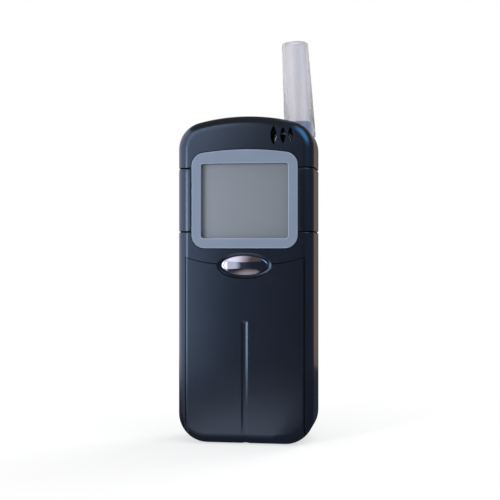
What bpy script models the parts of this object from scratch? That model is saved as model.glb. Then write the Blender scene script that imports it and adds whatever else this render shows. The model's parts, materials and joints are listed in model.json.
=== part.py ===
"""Handheld breath alcohol tester with a plug-on mouthpiece.

The tester stands upright as it is held: X is its width, -Y its front with the display, +Z runs up
to the mouthpiece. The origin is the middle of the foot. All sizes are in metres.
"""

import math

import bmesh
import bpy
from mathutils import Matrix, Vector

# ---------------------------------------------------------------- driving dimensions
HALF_WIDTH = 0.0249
BODY_TOP = 0.119
BOTTOM_CORNER = 0.0105
TOP_CORNER = 0.010
TOP_ARC = 0.072
FRONT_Y = -0.0134
BACK_Y = 0.014
PARTING_Y = 0.0025
FRONT_ROUND = 0.0042
BACK_ROUND = 0.0065
WALL = 0.0022
GAP = 0.0003
SEAM = GAP / 2

# Display frame and window
BEZEL_HALF_WIDTH = 0.0192
BEZEL_BOTTOM = 0.0711
BEZEL_TOP = 0.1064
BEZEL_CORNER = 0.0046
BEZEL_ARC = 0.110
BEZEL_FRONT_Y = -0.01385
BEZEL_BACK_Y = -0.0125
BEZEL_GAP = 0.00045
BEZEL_ROUND = 0.0004
WINDOW_HALF_WIDTH = 0.01595
WINDOW_BOTTOM = 0.0745
WINDOW_TOP = 0.1016
WINDOW_CORNER = 0.0010
PANE_LIP = 0.0006
PANE_FRONT_Y = -0.0124
PANE_BACK_Y = -0.0115
LCD_HALF_WIDTH = 0.0172
LCD_BOTTOM = 0.0716
LCD_TOP = 0.1033

# Power button, an oval in a shallow dish
BUTTON_Z = 0.06477
BUTTON_HALF_WIDTH = 0.00857
BUTTON_HALF_HEIGHT = 0.00355
BUTTON_CREST_Y = -0.014
DISH_HALF_WIDTH = 0.0102
DISH_HALF_HEIGHT = 0.0049
DISH_LIP = 0.0003
DISH_DEPTH = 0.0010

# Lower front panel and its centre groove
PANEL_HALF_WIDTH = 0.0210
PANEL_SHOULDER_Z = 0.0675
PANEL_THROAT_X = 0.0106
PANEL_THROAT_Z = 0.0652
PANEL_THICKNESS = 0.00115
PANEL_SINK = 0.0014
GROOVE_HALF_WIDTH = 0.00125
GROOVE_TOP = 0.0462
GROOVE_DEPTH = 0.0005
PANEL_CLIPS = ((-0.0165, 0.058), (0.0165, 0.058), (-0.0165, 0.018), (0.0165, 0.018))

# Side grips between the two cross seams
GRIP_BOTTOM = 0.07725
GRIP_TOP = 0.09955
GRIP_SEAM = 0.0009
GRIP_THICKNESS = 0.0008
GRIP_SINK = 0.0010
GRIP_LEDGE = 0.0004
GRIP_FRONT_X = 0.01965
GRIP_BACK_X = 0.0175

# Breath path: the seat is the floor of the pocket that the mouthpiece stands in
SEAT = Vector((0.01855, PARTING_Y, 0.1118))
SEAT_LEAN = math.radians(-3.3)
SEAT_POCKET_RADIUS = 0.0062
SEAT_CORE_RADIUS = 0.0079
SEAT_FLOOR = 0.0020
MOUTHPIECE_LENGTH = 0.0357
MOUTHPIECE_TOP_RADIUS = 0.0049
MOUTHPIECE_LIP = 0.0010
SPIGOT_RADIUS = 0.0046
SPIGOT_HEIGHT = 0.0062
STEM_RADIUS = 0.0024
COLLAR_RADIUS = 0.0028
TAIL_RADIUS = 0.00175
INLET_BORE = 0.0011
SEAL_SOCKET_RADIUS = 0.00270
SENSOR_X = 0.0136
SENSOR_Z = 0.1097
SENSOR_RADIUS = 0.0041
CUP_FRONT_Y = -0.0106
SLOT_Z = 0.1116
SLOTS = ((0.0106, 0.00115, 0.00345), (0.0140, 0.0010, 0.00305), (0.0167, 0.0009, 0.0028))

# Circuit board
BOARD_FRONT_Y = -0.0064
BOARD_BACK_Y = -0.0050
BOARD_HALF_WIDTH = 0.0169
BOARD_BOTTOM = 0.0065
BOARD_TOP = 0.1038

# Battery bay for two AA cells, and its door
CELL_RADIUS = 0.00725
CELL_LENGTH = 0.0505
CELL_X = 0.00745
CELL_Y = 0.00465
BAY_HALF_WIDTH = 0.0153
BAY_BOTTOM = 0.0080
BAY_TOP = 0.0644
BAY_FRONT_Y = -0.0029
TRAY_WALL = 0.0012
LEFT_CELL_FOOT = 0.0125
RIGHT_CELL_FOOT = 0.0091
DOOR_HALF_WIDTH = 0.0170
DOOR_BOTTOM = 0.0076
DOOR_TOP = 0.06595
DOOR_FRONT_Y = 0.0125
DOOR_CORNER = 0.00245
DOOR_HINGE_Y = 0.0142
DOOR_HINGE_Z = 0.0661
TAB_X = 0.0090
CLEARANCE = 0.00025

# Screws: the housing's five, and the two that hold the board
HOUSING_SCREWS = (
    (0.0, 0.1115),
    (-0.0206, 0.0715),
    (0.0206, 0.0715),
    (-0.0206, 0.0120),
    (0.0206, 0.0120),
)
BOARD_SCREWS = ((-0.0142, 0.0678), (0.0142, 0.0678))
BOSS_RADIUS = 0.0027
SCREW_HOLE = 0.0013
COUNTERBORE = 0.0024
COUNTERBORE_FLOOR_Y = 0.0106
POST_RADIUS = 0.0020

FACING_FRONT = (math.radians(90), 0.0, 0.0)
FACING_BACK = (math.radians(-90), 0.0, 0.0)
SEAT_ROTATION = (0.0, SEAT_LEAN, 0.0)

FAR = 0.006
CORNER_STEPS = 6
TOP_STEPS = 8
ROUND_STEPS = 4
TURN_STEPS = 24


# ---------------------------------------------------------------- scene and materials
def clear_scene():
    for item in list(bpy.data.objects):
        bpy.data.objects.remove(item, do_unlink=True)


def new_collection(name):
    collection = bpy.data.collections.new(name)
    bpy.context.scene.collection.children.link(collection)
    return collection


def make_material(name, colour, roughness, metallic=0.0):
    material = bpy.data.materials.new(name)
    material.use_nodes = True
    shader = material.node_tree.nodes["Principled BSDF"]
    shader.inputs["Base Color"].default_value = (*colour, 1.0)
    shader.inputs["Roughness"].default_value = roughness
    shader.inputs["Metallic"].default_value = metallic
    material.diffuse_color = (*colour, 1.0)
    return material


clear_scene()
PARTS = new_collection("breath_tester")
CUTTERS = new_collection("cutters")
CUTTERS.hide_render = True

MATERIALS = {
    "housing": make_material("black_housing", (0.028, 0.034, 0.048), 0.42),
    "panel": make_material("black_panel", (0.024, 0.030, 0.042), 0.40),
    "bezel": make_material("grey_bezel", (0.235, 0.285, 0.365), 0.38),
    "window": make_material("clear_window", (0.62, 0.66, 0.68), 0.08),
    "lcd": make_material("lcd_grey", (0.215, 0.245, 0.255), 0.30),
    "chrome": make_material("chrome_plate", (0.80, 0.80, 0.83), 0.06, 1.0),
    "mouthpiece": make_material("frosted_polymer", (0.78, 0.78, 0.83), 0.35),
    "inlet": make_material("blue_black_polymer", (0.030, 0.070, 0.140), 0.30),
    "steel": make_material("bright_steel", (0.56, 0.56, 0.57), 0.28, 1.0),
    "nickel": make_material("nickel_plate", (0.66, 0.64, 0.60), 0.25, 1.0),
    "board": make_material("green_board", (0.020, 0.120, 0.055), 0.45),
    "chip": make_material("black_package", (0.020, 0.020, 0.022), 0.55),
    "white": make_material("white_polymer", (0.75, 0.75, 0.73), 0.50),
    "rubber": make_material("dark_rubber", (0.030, 0.030, 0.032), 0.80),
    "cell": make_material("cell_sleeve", (0.045, 0.110, 0.230), 0.35),
}


def finish_object(item, collection, material=None):
    for owner in list(item.users_collection):
        owner.objects.unlink(item)
    collection.objects.link(item)
    item.hide_render = collection is CUTTERS
    item.display_type = "WIRE" if collection is CUTTERS else "TEXTURED"
    if material is not None:
        item.data.materials.clear()
        item.data.materials.append(MATERIALS[material])
    return item


def part(item, material, smooth_angle=35.0):
    """Files a finished piece under the tester, with its material and smooth shading."""
    finish_object(item, PARTS, material)
    if item.type == "MESH":
        item.data.shade_smooth()
        item.data.set_sharp_from_angle(angle=math.radians(smooth_angle))
    return item


# ---------------------------------------------------------------- outlines, as (x, z) points
def arc(centre_x, centre_z, radius_x, start, end, steps, radius_z=None):
    """Points along an arc from start to end degrees, both ends included."""
    radius_z = radius_x if radius_z is None else radius_z
    points = []
    for step in range(steps + 1):
        angle = math.radians(start + (end - start) * step / steps)
        points.append((centre_x + radius_x * math.cos(angle), centre_z + radius_z * math.sin(angle)))
    return points


def crowned_outline(half_width, bottom, top, low_corner, high_corner, crown, inset=0.0):
    """A box outline with round corners and an arched top, moved inwards by inset."""
    low_x = half_width - low_corner
    high_x = half_width - high_corner
    crown_z = top - crown
    high_z = crown_z + math.sqrt((crown - high_corner) ** 2 - high_x**2)
    meet = math.degrees(math.atan2(high_z - crown_z, high_x))
    low_z = bottom + low_corner
    return (
        arc(low_x, low_z, low_corner - inset, -90, 0, CORNER_STEPS)
        + arc(high_x, high_z, high_corner - inset, 0, meet, CORNER_STEPS)
        + arc(0.0, crown_z, crown - inset, meet, 180 - meet, TOP_STEPS)[1:-1]
        + arc(-high_x, high_z, high_corner - inset, 180 - meet, 180, CORNER_STEPS)
        + arc(-low_x, low_z, low_corner - inset, 180, 270, CORNER_STEPS)
    )


def body_outline(inset=0.0):
    return crowned_outline(
        HALF_WIDTH, 0.0, BODY_TOP, BOTTOM_CORNER, TOP_CORNER, TOP_ARC, inset
    )


def bezel_outline(inset=0.0):
    return crowned_outline(
        BEZEL_HALF_WIDTH, BEZEL_BOTTOM, BEZEL_TOP, BEZEL_CORNER, BEZEL_CORNER, BEZEL_ARC, inset
    )


def rounded_rectangle(half_width, bottom, top, corner, steps=3):
    x = half_width - corner
    return (
        arc(x, bottom + corner, corner, -90, 0, steps)
        + arc(x, top - corner, corner, 0, 90, steps)
        + arc(-x, top - corner, corner, 90, 180, steps)
        + arc(-x, bottom + corner, corner, 180, 270, steps)
    )


def ellipse(centre_z, half_width, half_height, steps=32):
    return arc(0.0, centre_z, half_width, 0, 360, steps, half_height)[:-1]


def lens(centre_x, centre_z, half_width, half_height, steps=5):
    """Two equal arcs that meet in a point above and below."""
    radius = (half_width**2 + half_height**2) / (2 * half_width)
    spread = math.degrees(math.asin(half_height / radius))
    shift = radius - half_width
    right = arc(centre_x - shift, centre_z, radius, -spread, spread, steps)
    left = arc(centre_x + shift, centre_z, radius, 180 - spread, 180 + spread, steps)
    return right + left[1:-1]


def panel_outline(grow=0.0):
    """The lower panel: its top edge dips from two shoulders to a throat round the button's dish."""
    steps = 4
    half_width = PANEL_HALF_WIDTH + grow
    shoulder = []
    for step in range(steps + 1):
        share = step / steps
        x = half_width + (PANEL_THROAT_X - half_width) * share
        z = PANEL_THROAT_Z + grow + (PANEL_SHOULDER_Z - PANEL_THROAT_Z) * (1 - share) ** 1.6
        shoulder.append((x, z))
    throat = arc(0.0, BUTTON_Z, DISH_HALF_WIDTH - grow, 0, -180, 16, DISH_HALF_HEIGHT - grow)
    left = [(-x, z) for x, z in reversed(shoulder)]
    return [(-half_width, -FAR), (half_width, -FAR)] + shoulder + throat + left


# ---------------------------------------------------------------- solids
def mesh_from_curve(curve_object):
    """Turns a curve object into a closed mesh object with one face on each flat cap."""
    bpy.context.view_layer.update()
    graph = bpy.context.evaluated_depsgraph_get()
    mesh = bpy.data.meshes.new_from_object(curve_object.evaluated_get(graph))
    shape = bmesh.new()
    shape.from_mesh(mesh)
    bmesh.ops.remove_doubles(shape, verts=shape.verts, dist=1e-6)
    bmesh.ops.dissolve_limit(
        shape, angle_limit=math.radians(0.5), verts=shape.verts, edges=shape.edges
    )
    bmesh.ops.recalc_face_normals(shape, faces=shape.faces)
    shape.to_mesh(mesh)
    shape.free()
    name = curve_object.name
    placed = curve_object.matrix_world.copy()
    bpy.data.objects.remove(curve_object, do_unlink=True)
    item = bpy.data.objects.new(name, mesh)
    bpy.context.scene.collection.objects.link(item)
    item.matrix_world = placed
    return item


def plate(name, outline, y_front, y_back, collection=None, holes=()):
    """A flat outline in the XZ plane, with any holes, given its thickness from y_front to y_back."""
    curve = bpy.data.curves.new(name, "CURVE")
    curve.dimensions = "2D"
    curve.fill_mode = "BOTH"
    curve.extrude = (y_back - y_front) / 2
    for points in (outline, *holes):
        spline = curve.splines.new("POLY")
        spline.points.add(len(points) - 1)
        for point, (x, z) in zip(spline.points, points):
            point.co = (x, z, 0.0, 1.0)
        spline.use_cyclic_u = True
    item = bpy.data.objects.new(name, curve)
    bpy.context.scene.collection.objects.link(item)
    item.location = (0.0, (y_front + y_back) / 2, 0.0)
    item.rotation_euler = (math.radians(90), 0.0, 0.0)
    item = mesh_from_curve(item)
    return finish_object(item, CUTTERS if collection is None else collection)


def round_rim(item, radius, front=True, back=False, steps=ROUND_STEPS):
    """Rounds the outer rim of a plate's front or back face. A plate's local +Z is its front."""
    shape = bmesh.new()
    shape.from_mesh(item.data)
    high = max(vert.co.z for vert in shape.verts)
    low = min(vert.co.z for vert in shape.verts)
    levels = ([high] if front else []) + ([low] if back else [])
    rim = [
        edge
        for edge in shape.edges
        if any(all(abs(vert.co.z - level) < 1e-7 for vert in edge.verts) for level in levels)
    ]
    bmesh.ops.bevel(
        shape, geom=rim, offset=radius, segments=steps, profile=0.5, affect="EDGES"
    )
    shape.to_mesh(item.data)
    shape.free()
    return item


def body_block(name, inset, y_front=None, y_back=None):
    """The tester's outer form moved inwards by inset. Where a y is given, that end is flat."""
    front = FRONT_Y + inset if y_front is None else y_front
    back = BACK_Y - inset if y_back is None else y_back
    item = plate(name, body_outline(inset), front, back)
    if y_front is None:
        round_rim(item, FRONT_ROUND - inset, front=True)
    if y_back is None:
        round_rim(item, BACK_ROUND - inset, front=False, back=True)
    return item


def box(name, x_range, y_range, z_range, collection=None):
    mesh = bpy.data.meshes.new(name)
    shape = bmesh.new()
    bmesh.ops.create_cube(shape, size=1.0)
    size = Vector([high - low for low, high in (x_range, y_range, z_range)])
    middle = Vector([(high + low) / 2 for low, high in (x_range, y_range, z_range)])
    bmesh.ops.scale(shape, vec=size, verts=shape.verts)
    shape.to_mesh(mesh)
    shape.free()
    item = bpy.data.objects.new(name, mesh)
    item.location = middle
    bpy.context.scene.collection.objects.link(item)
    return finish_object(item, CUTTERS if collection is None else collection)


def turned(name, profile, origin, rotation=(0.0, 0.0, 0.0), closed=False, steps=TURN_STEPS):
    """A profile of (radius, height) points, outer side from top to bottom, turned about local Z."""
    mesh = bpy.data.meshes.new(name)
    count = len(profile)
    edges = [(i, i + 1) for i in range(count - 1)] + ([(count - 1, 0)] if closed else [])
    mesh.from_pydata([(radius, 0.0, height) for radius, height in profile], edges, [])
    item = bpy.data.objects.new(name, mesh)
    bpy.context.scene.collection.objects.link(item)
    item.location = origin
    item.rotation_euler = rotation
    screw = item.modifiers.new("Turn", "SCREW")
    screw.steps = steps
    screw.render_steps = steps
    screw.use_merge_vertices = True
    screw.merge_threshold = 1e-6
    screw.use_smooth_shade = True
    return finish_object(item, CUTTERS)


def cylinder(name, radius, low, high, origin, rotation=(0.0, 0.0, 0.0), steps=TURN_STEPS):
    profile = [(0.0, high), (radius, high), (radius, low), (0.0, low)]
    return turned(name, profile, origin, rotation, steps=steps)


def y_rod(name, radius, x, z, y_low, y_high, steps=TURN_STEPS):
    """A cylinder along Y. Its local Z points to the front."""
    middle = (y_low + y_high) / 2
    half = (y_high - y_low) / 2
    return cylinder(name, radius, -half, half, (x, middle, z), FACING_FRONT, steps)


# The exact solver leaves hairline cracks in these two pieces; the manifold solver closes them.
MANIFOLD_PIECES = ("rear_housing", "sensor_chamber")


def add_boolean(item, other, operation):
    modifier = item.modifiers.new(operation.title() + "_" + other.name, "BOOLEAN")
    modifier.operation = operation
    modifier.solver = "MANIFOLD" if item.name in MANIFOLD_PIECES else "EXACT"
    modifier.object = other


def cut(item, *cutters):
    for cutter in cutters:
        add_boolean(item, cutter, "DIFFERENCE")
    return item


def join(item, *others):
    for other in others:
        add_boolean(item, other, "UNION")
    return item


def common(item, other):
    add_boolean(item, other, "INTERSECT")
    return item


# ---------------------------------------------------------------- cutters shared by both housings
def seat_cylinder(name, radius, low, high):
    """A cylinder on the mouthpiece's axis, its heights measured from the seat."""
    return cylinder(name, radius, low, high, SEAT, SEAT_ROTATION)


def seat_cutters(side):
    pocket = seat_cylinder(f"seat_pocket_{side}", SEAT_POCKET_RADIUS, 0.0, 0.02)
    hole = seat_cylinder(f"seat_hole_{side}", STEM_RADIUS + GAP, -0.004, 0.001)
    return pocket, hole


def grip_pocket(side, sign, inner_x, beyond, sink):
    """A pocket round one side, which reaches beyond the grip's two ends."""
    sides = sorted((sign * inner_x, sign * (HALF_WIDTH + FAR)))
    pocket = box(
        f"grip_pocket_{side}_{beyond}",
        sides,
        (FRONT_Y - FAR, BACK_Y + FAR),
        (GRIP_BOTTOM - beyond, GRIP_TOP + beyond),
    )
    return cut(pocket, body_block(f"grip_floor_{side}_{beyond}", sink))


def grip_pockets(side, sign, inner_x):
    """The pocket that a side grip lies in, and the shallow ledge at each end that shows as a seam."""
    ledge = grip_pocket(side, sign, inner_x, GRIP_SEAM, GRIP_LEDGE)
    floor = grip_pocket(side, sign, inner_x + 0.0001, GAP, GRIP_SINK)
    return ledge, floor


# ---------------------------------------------------------------- housings
def front_housing():
    housing = body_block("front_housing", 0.0, y_back=PARTING_Y - SEAM)
    cavity = body_block("front_cavity", WALL, y_back=PARTING_Y + 0.0015)
    lip = body_block("front_lip", 0.00095, PARTING_Y - 0.00115, PARTING_Y + 0.001)
    join(cavity, lip)
    cut(cavity, seat_cylinder("front_seat_core", SEAT_CORE_RADIUS, -SEAT_FLOOR, 0.02))
    for index, (x, z) in enumerate(HOUSING_SCREWS):
        cut(cavity, y_rod(f"front_boss_{index}", BOSS_RADIUS, x, z, FRONT_Y - FAR, 0.01, 16))
    for index, (x, z) in enumerate(BOARD_SCREWS):
        end = BOARD_FRONT_Y - CLEARANCE
        cut(cavity, y_rod(f"board_post_{index}", POST_RADIUS, x, z, FRONT_Y - FAR, end, 12))
    cut(housing, cavity)
    for index, (x, z) in enumerate(HOUSING_SCREWS):
        cut(housing, y_rod(f"front_pilot_{index}", SCREW_HOLE, x, z, -0.0095, 0.01, 12))
    for index, (x, z) in enumerate(BOARD_SCREWS):
        cut(housing, y_rod(f"board_pilot_{index}", 0.0010, x, z, -0.0105, 0.0, 10))

    bezel_floor = BEZEL_BACK_Y + 0.0002
    window = rounded_rectangle(
        WINDOW_HALF_WIDTH + 0.00085, WINDOW_BOTTOM - 0.0009, WINDOW_TOP + 0.0009, 0.0014
    )
    cut(
        housing,
        plate("bezel_pocket", bezel_outline(-BEZEL_GAP), FRONT_Y - FAR, bezel_floor),
        plate("window_hole", window, FRONT_Y - FAR, -0.009),
    )
    button_hole = ellipse(BUTTON_Z, BUTTON_HALF_WIDTH + GAP, BUTTON_HALF_HEIGHT + GAP)
    cut(housing, plate("button_hole", button_hole, FRONT_Y - FAR, -0.009), button_dish())
    for index, (x, half_width, half_height) in enumerate(SLOTS):
        slot = lens(x, SLOT_Z, half_width, half_height)
        cut(housing, plate(f"sound_slot_{index}", slot, FRONT_Y - FAR, -0.009))

    panel_pocket = plate("panel_pocket", panel_outline(CLEARANCE), FRONT_Y - FAR, 0.008)
    cut(panel_pocket, body_block("panel_floor", PANEL_SINK, y_back=0.012))
    cut(housing, panel_pocket, *clip_boxes("clip_slot", GAP))
    for side, sign in (("front_left", -1), ("front_right", 1)):
        cut(housing, *grip_pockets(side, sign, BEZEL_HALF_WIDTH - 0.0004))
    cut(housing, *seat_cutters("front"))
    return part(housing, "housing")


def button_dish():
    """A cone, stretched sideways, that leads the front face down to the button."""
    stretch = DISH_HALF_WIDTH / DISH_HALF_HEIGHT
    over = 0.0004
    rim = DISH_HALF_HEIGHT - DISH_LIP
    floor = BUTTON_HALF_HEIGHT + 2 * GAP
    slope = (rim - floor) / DISH_DEPTH
    dish = turned(
        "button_dish",
        [
            (0.0, over),
            (rim + slope * over, over),
            (floor, -DISH_DEPTH),
            (0.0, -DISH_DEPTH),
        ],
        (0.0, FRONT_Y, BUTTON_Z),
        FACING_FRONT,
        steps=32,
    )
    dish.scale = (stretch, 1.0, 1.0)
    return dish


def clip_boxes(name, grow):
    """The four clips of the front panel, or with grow the slots that they pass through."""
    half_x, half_z = 0.0005 + grow, 0.0015 + grow
    found = []
    for index, (x, z) in enumerate(PANEL_CLIPS):
        found.append(
            box(
                f"{name}_{index}",
                (x - half_x, x + half_x),
                (FRONT_Y + 0.0008, -0.0098 + 2 * grow),
                (z - half_z, z + half_z),
            )
        )
    return found


def rear_housing():
    housing = body_block("rear_housing", 0.0, y_front=PARTING_Y + SEAM)
    tongue = body_block("tongue", 0.00125, PARTING_Y - 0.00085, PARTING_Y + 0.001)
    cut(tongue, seat_cylinder("tongue_seat_gap", SEAT_CORE_RADIUS + GAP, -SEAT_FLOOR - GAP, 0.02))
    for index, (x, z) in enumerate(HOUSING_SCREWS):
        cut(tongue, y_rod(f"tongue_gap_{index}", BOSS_RADIUS + GAP, x, z, -0.005, 0.01, 16))
    join(housing, tongue)

    cavity = body_block("rear_cavity", WALL, y_front=-0.005)
    cut(
        cavity,
        seat_cylinder("rear_seat_core", SEAT_CORE_RADIUS, -SEAT_FLOOR, 0.02),
        box("door_flange", (-0.019, 0.019), (0.0106, 0.03), (0.005, 0.070)),
    )
    for index, (x, z) in enumerate(HOUSING_SCREWS):
        cut(cavity, y_rod(f"rear_boss_{index}", 0.0033, x, z, PARTING_Y + 0.0007, 0.03, 16))
    cut(housing, cavity)

    outer_x = BAY_HALF_WIDTH + TRAY_WALL
    tray = box(
        "battery_tray",
        (-outer_x, outer_x),
        (BAY_FRONT_Y - 0.0010, 0.0114),
        (BAY_BOTTOM - TRAY_WALL, BAY_TOP + TRAY_WALL),
    )
    join(housing, tray)
    cut(
        housing,
        box(
            "battery_bay",
            (-BAY_HALF_WIDTH, BAY_HALF_WIDTH),
            (BAY_FRONT_Y, 0.03),
            (BAY_BOTTOM, BAY_TOP),
        ),
        plate(
            "door_recess",
            rounded_rectangle(
                DOOR_HALF_WIDTH + CLEARANCE,
                DOOR_BOTTOM - CLEARANCE,
                DOOR_TOP + CLEARANCE,
                DOOR_CORNER + CLEARANCE,
            ),
            DOOR_FRONT_Y - GAP,
            BACK_Y + FAR,
        ),
    )
    for index, x in enumerate((-TAB_X, TAB_X)):
        tab_slot = box(
            f"tab_slot_{index}", (x - 0.0024, x + 0.0024), (0.0095, 0.01225), (0.0640, 0.0694)
        )
        cut(housing, tab_slot)
    for index, (x, z) in enumerate(HOUSING_SCREWS):
        cut(
            housing,
            y_rod(f"rear_hole_{index}", SCREW_HOLE, x, z, -0.005, 0.02, 12),
            y_rod(f"counterbore_{index}", COUNTERBORE, x, z, COUNTERBORE_FLOOR_Y, 0.02, 20),
        )
    for side, sign in (("rear_left", -1), ("rear_right", 1)):
        cut(housing, *grip_pockets(side, sign, GRIP_BACK_X - GRIP_SEAM))
    cut(housing, *seat_cutters("rear"))
    return part(housing, "housing")


def front_panel():
    """Clips over the lower front and wraps under the foot to the parting line."""
    panel = plate("front_panel", panel_outline(), FRONT_Y - FAR, PARTING_Y - 0.0005)
    common(panel, body_block("panel_skin", 0.0, y_back=0.012))
    cut(panel, body_block("panel_inside", PANEL_THICKNESS, y_back=0.012))
    groove = plate(
        "panel_groove",
        rounded_rectangle(GROOVE_HALF_WIDTH, -FAR, GROOVE_TOP, 0.0004, 2),
        FRONT_Y - FAR,
        0.008,
    )
    cut(groove, body_block("groove_floor", GROOVE_DEPTH, y_back=0.012))
    cut(panel, groove)
    join(panel, *clip_boxes("panel_clip", 0.0))
    return part(panel, "panel")


def side_grip(name, sign):
    """A thin soft-touch inlay that wraps from the display frame round the side to the back."""
    sides = sorted((sign * GRIP_BACK_X, sign * (HALF_WIDTH + FAR)))
    grip = box(name, sides, (FRONT_Y - FAR, BACK_Y + FAR), (GRIP_BOTTOM, GRIP_TOP))
    trim = sorted((sign * (GRIP_BACK_X - 0.003), sign * GRIP_FRONT_X))
    cut(
        grip,
        box(f"{name}_trim", trim, (FRONT_Y - 2 * FAR, 0.003), (GRIP_BOTTOM - FAR, GRIP_TOP + FAR)),
    )
    common(grip, body_block(f"{name}_skin", 0.0))
    cut(grip, body_block(f"{name}_inside", GRIP_THICKNESS))
    return part(grip, "housing")


# ---------------------------------------------------------------- display
def lcd_bezel():
    window = rounded_rectangle(WINDOW_HALF_WIDTH, WINDOW_BOTTOM, WINDOW_TOP, WINDOW_CORNER)
    bezel = plate("lcd_bezel", bezel_outline(), BEZEL_FRONT_Y, BEZEL_BACK_Y, holes=[window])
    shape = bmesh.new()
    shape.from_mesh(bezel.data)
    high = max(vert.co.z for vert in shape.verts)
    rim = [
        edge
        for edge in shape.edges
        if all(abs(vert.co.z - high) < 1e-7 for vert in edge.verts)
        and len(edge.link_faces) == 2
        and edge.calc_face_angle(0.0) > math.radians(60)
    ]
    bmesh.ops.bevel(
        shape, geom=rim, offset=BEZEL_ROUND, segments=2, profile=0.5, affect="EDGES"
    )
    shape.to_mesh(bezel.data)
    shape.free()
    return part(bezel, "bezel")


def display_parts():
    window = plate(
        "display_window",
        rounded_rectangle(
            WINDOW_HALF_WIDTH + PANE_LIP,
            WINDOW_BOTTOM - PANE_LIP,
            WINDOW_TOP + PANE_LIP,
            WINDOW_CORNER + 0.0002,
        ),
        PANE_FRONT_Y,
        PANE_BACK_Y,
        PARTS,
    )
    part(window, "window")
    across = (-LCD_HALF_WIDTH, LCD_HALF_WIDTH)
    glass = box("lcd_glass", across, (-0.0110, -0.0100), (LCD_BOTTOM, LCD_TOP), PARTS)
    rear_glass = box("lcd_rear_glass", across, (-0.0102, -0.0090), (LCD_BOTTOM + 0.0026, LCD_TOP))
    join(glass, rear_glass)
    part(glass, "lcd")
    frame = box("lcd_frame", (-0.0174, 0.0174), (-0.0088, -0.0066), (0.0745, 0.1036), PARTS)
    recess = box("lcd_frame_recess", (-0.0150, 0.0150), (-0.0080, -0.0050), (0.0775, 0.1005))
    part(cut(frame, recess), "white")
    strip = box(
        "lcd_contact_strip", (-0.0155, 0.0155), (-0.0098, -0.0066), (0.0720, 0.0738), PARTS
    )
    part(strip, "rubber")


# ---------------------------------------------------------------- power button
def power_button():
    """An oval plated key: a domed cap, a skirt, a flange behind the wall and a plunger."""
    stretch = BUTTON_HALF_WIDTH / BUTTON_HALF_HEIGHT
    crest = BUTTON_HALF_HEIGHT
    rise = 0.0009
    dome = []
    for step in range(5):
        angle = math.radians(90 * step / 4)
        dome.append((crest * math.sin(angle), rise * math.cos(angle)))
    flange_top = -0.00205
    flange_low = -0.00265
    plunger_end = -0.0035
    profile = dome + [
        (crest, flange_top),
        (crest + 0.0010, flange_top),
        (crest + 0.0010, flange_low),
        (0.0007, flange_low),
        (0.0007, plunger_end),
        (0.0, plunger_end),
    ]
    button = turned(
        "power_button",
        profile,
        (0.0, BUTTON_CREST_Y + rise, BUTTON_Z),
        FACING_FRONT,
        steps=32,
    )
    button.scale = (stretch, 1.0, 1.0)
    return part(button, "chrome")


def button_switch():
    half = 0.003
    across = (-half, half)
    upright = (BUTTON_Z - half, BUTTON_Z + half)
    body = box("tact_switch", across, (-0.0088, -0.0065), upright, PARTS)
    cut(body, y_rod("switch_bore", 0.0019, 0.0, BUTTON_Z, -0.010, -0.0075, 16))
    part(body, "chip")
    stem = y_rod("switch_stem", 0.0016, 0.0, BUTTON_Z, -0.0095, -0.0081, 16)
    part(stem, "white")


# ---------------------------------------------------------------- circuit board
def main_board():
    board = plate(
        "main_board",
        rounded_rectangle(BOARD_HALF_WIDTH, BOARD_BOTTOM, BOARD_TOP, 0.0015, 2),
        BOARD_FRONT_Y,
        BOARD_BACK_Y,
        PARTS,
        holes=[arc(x, z, 0.0010, 0, 360, 12)[:-1] for x, z in BOARD_SCREWS],
    )
    part(board, "board")
    surface = BOARD_FRONT_Y - 0.0001
    chip_depth = (surface - 0.0014, surface)
    chip = box("controller_chip", (-0.0085, 0.0015), chip_depth, (0.030, 0.040), PARTS)
    part(chip, "chip")
    can = rounded_rectangle(0.0052, 0.0433, 0.0477, 0.0021, 4)
    crystal_outline = [(x - 0.0035, z) for x, z in can]
    crystal = plate("clock_crystal", crystal_outline, surface - 0.0030, surface, PARTS)
    part(crystal, "steel")
    part(y_rod("buzzer", 0.0060, 0.0085, 0.0500, surface - 0.0035, surface), "chip")
    capacitor = y_rod(
        "smoothing_capacitor", 0.0025, 0.0100, 0.0300, surface - 0.0042, surface, 20
    )
    part(capacitor, "steel")


def board_screws():
    for index, (x, z) in enumerate(BOARD_SCREWS):
        profile = [
            (0.0, 0.0009),
            (0.0012, 0.0009),
            (0.0016, 0.0005),
            (0.0016, 0.0),
            (0.00075, 0.0),
            (0.00075, -0.0045),
            (0.0, -0.0045),
        ]
        screw = turned(
            f"board_screw_{index + 1}",
            profile,
            (x, BOARD_BACK_Y + 0.0001, z),
            FACING_BACK,
            steps=12,
        )
        part(screw, "nickel")


def housing_screws():
    head = 0.0013
    seat_y = COUNTERBORE_FLOOR_Y + 0.0001
    top = seat_y + head
    for index, (x, z) in enumerate(HOUSING_SCREWS):
        profile = [
            (0.0, head),
            (0.0014, head),
            (0.0020, head - 0.0005),
            (0.0020, 0.0),
            (0.00105, 0.0),
            (0.00105, -0.0165),
            (0.0006, -0.0175),
            (0.0, -0.0175),
        ]
        screw = turned(
            f"housing_screw_{index + 1}",
            profile,
            (x, seat_y, z),
            FACING_BACK,
            steps=16,
        )
        for arm, (half_x, half_z) in enumerate(((0.0012, 0.00025), (0.00025, 0.0012))):
            drive = box(
                f"screw_drive_{index}_{arm}",
                (x - half_x, x + half_x),
                (top - 0.0007, top + 0.001),
                (z - half_z, z + half_z),
            )
            cut(screw, drive)
        part(screw, "nickel")


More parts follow.
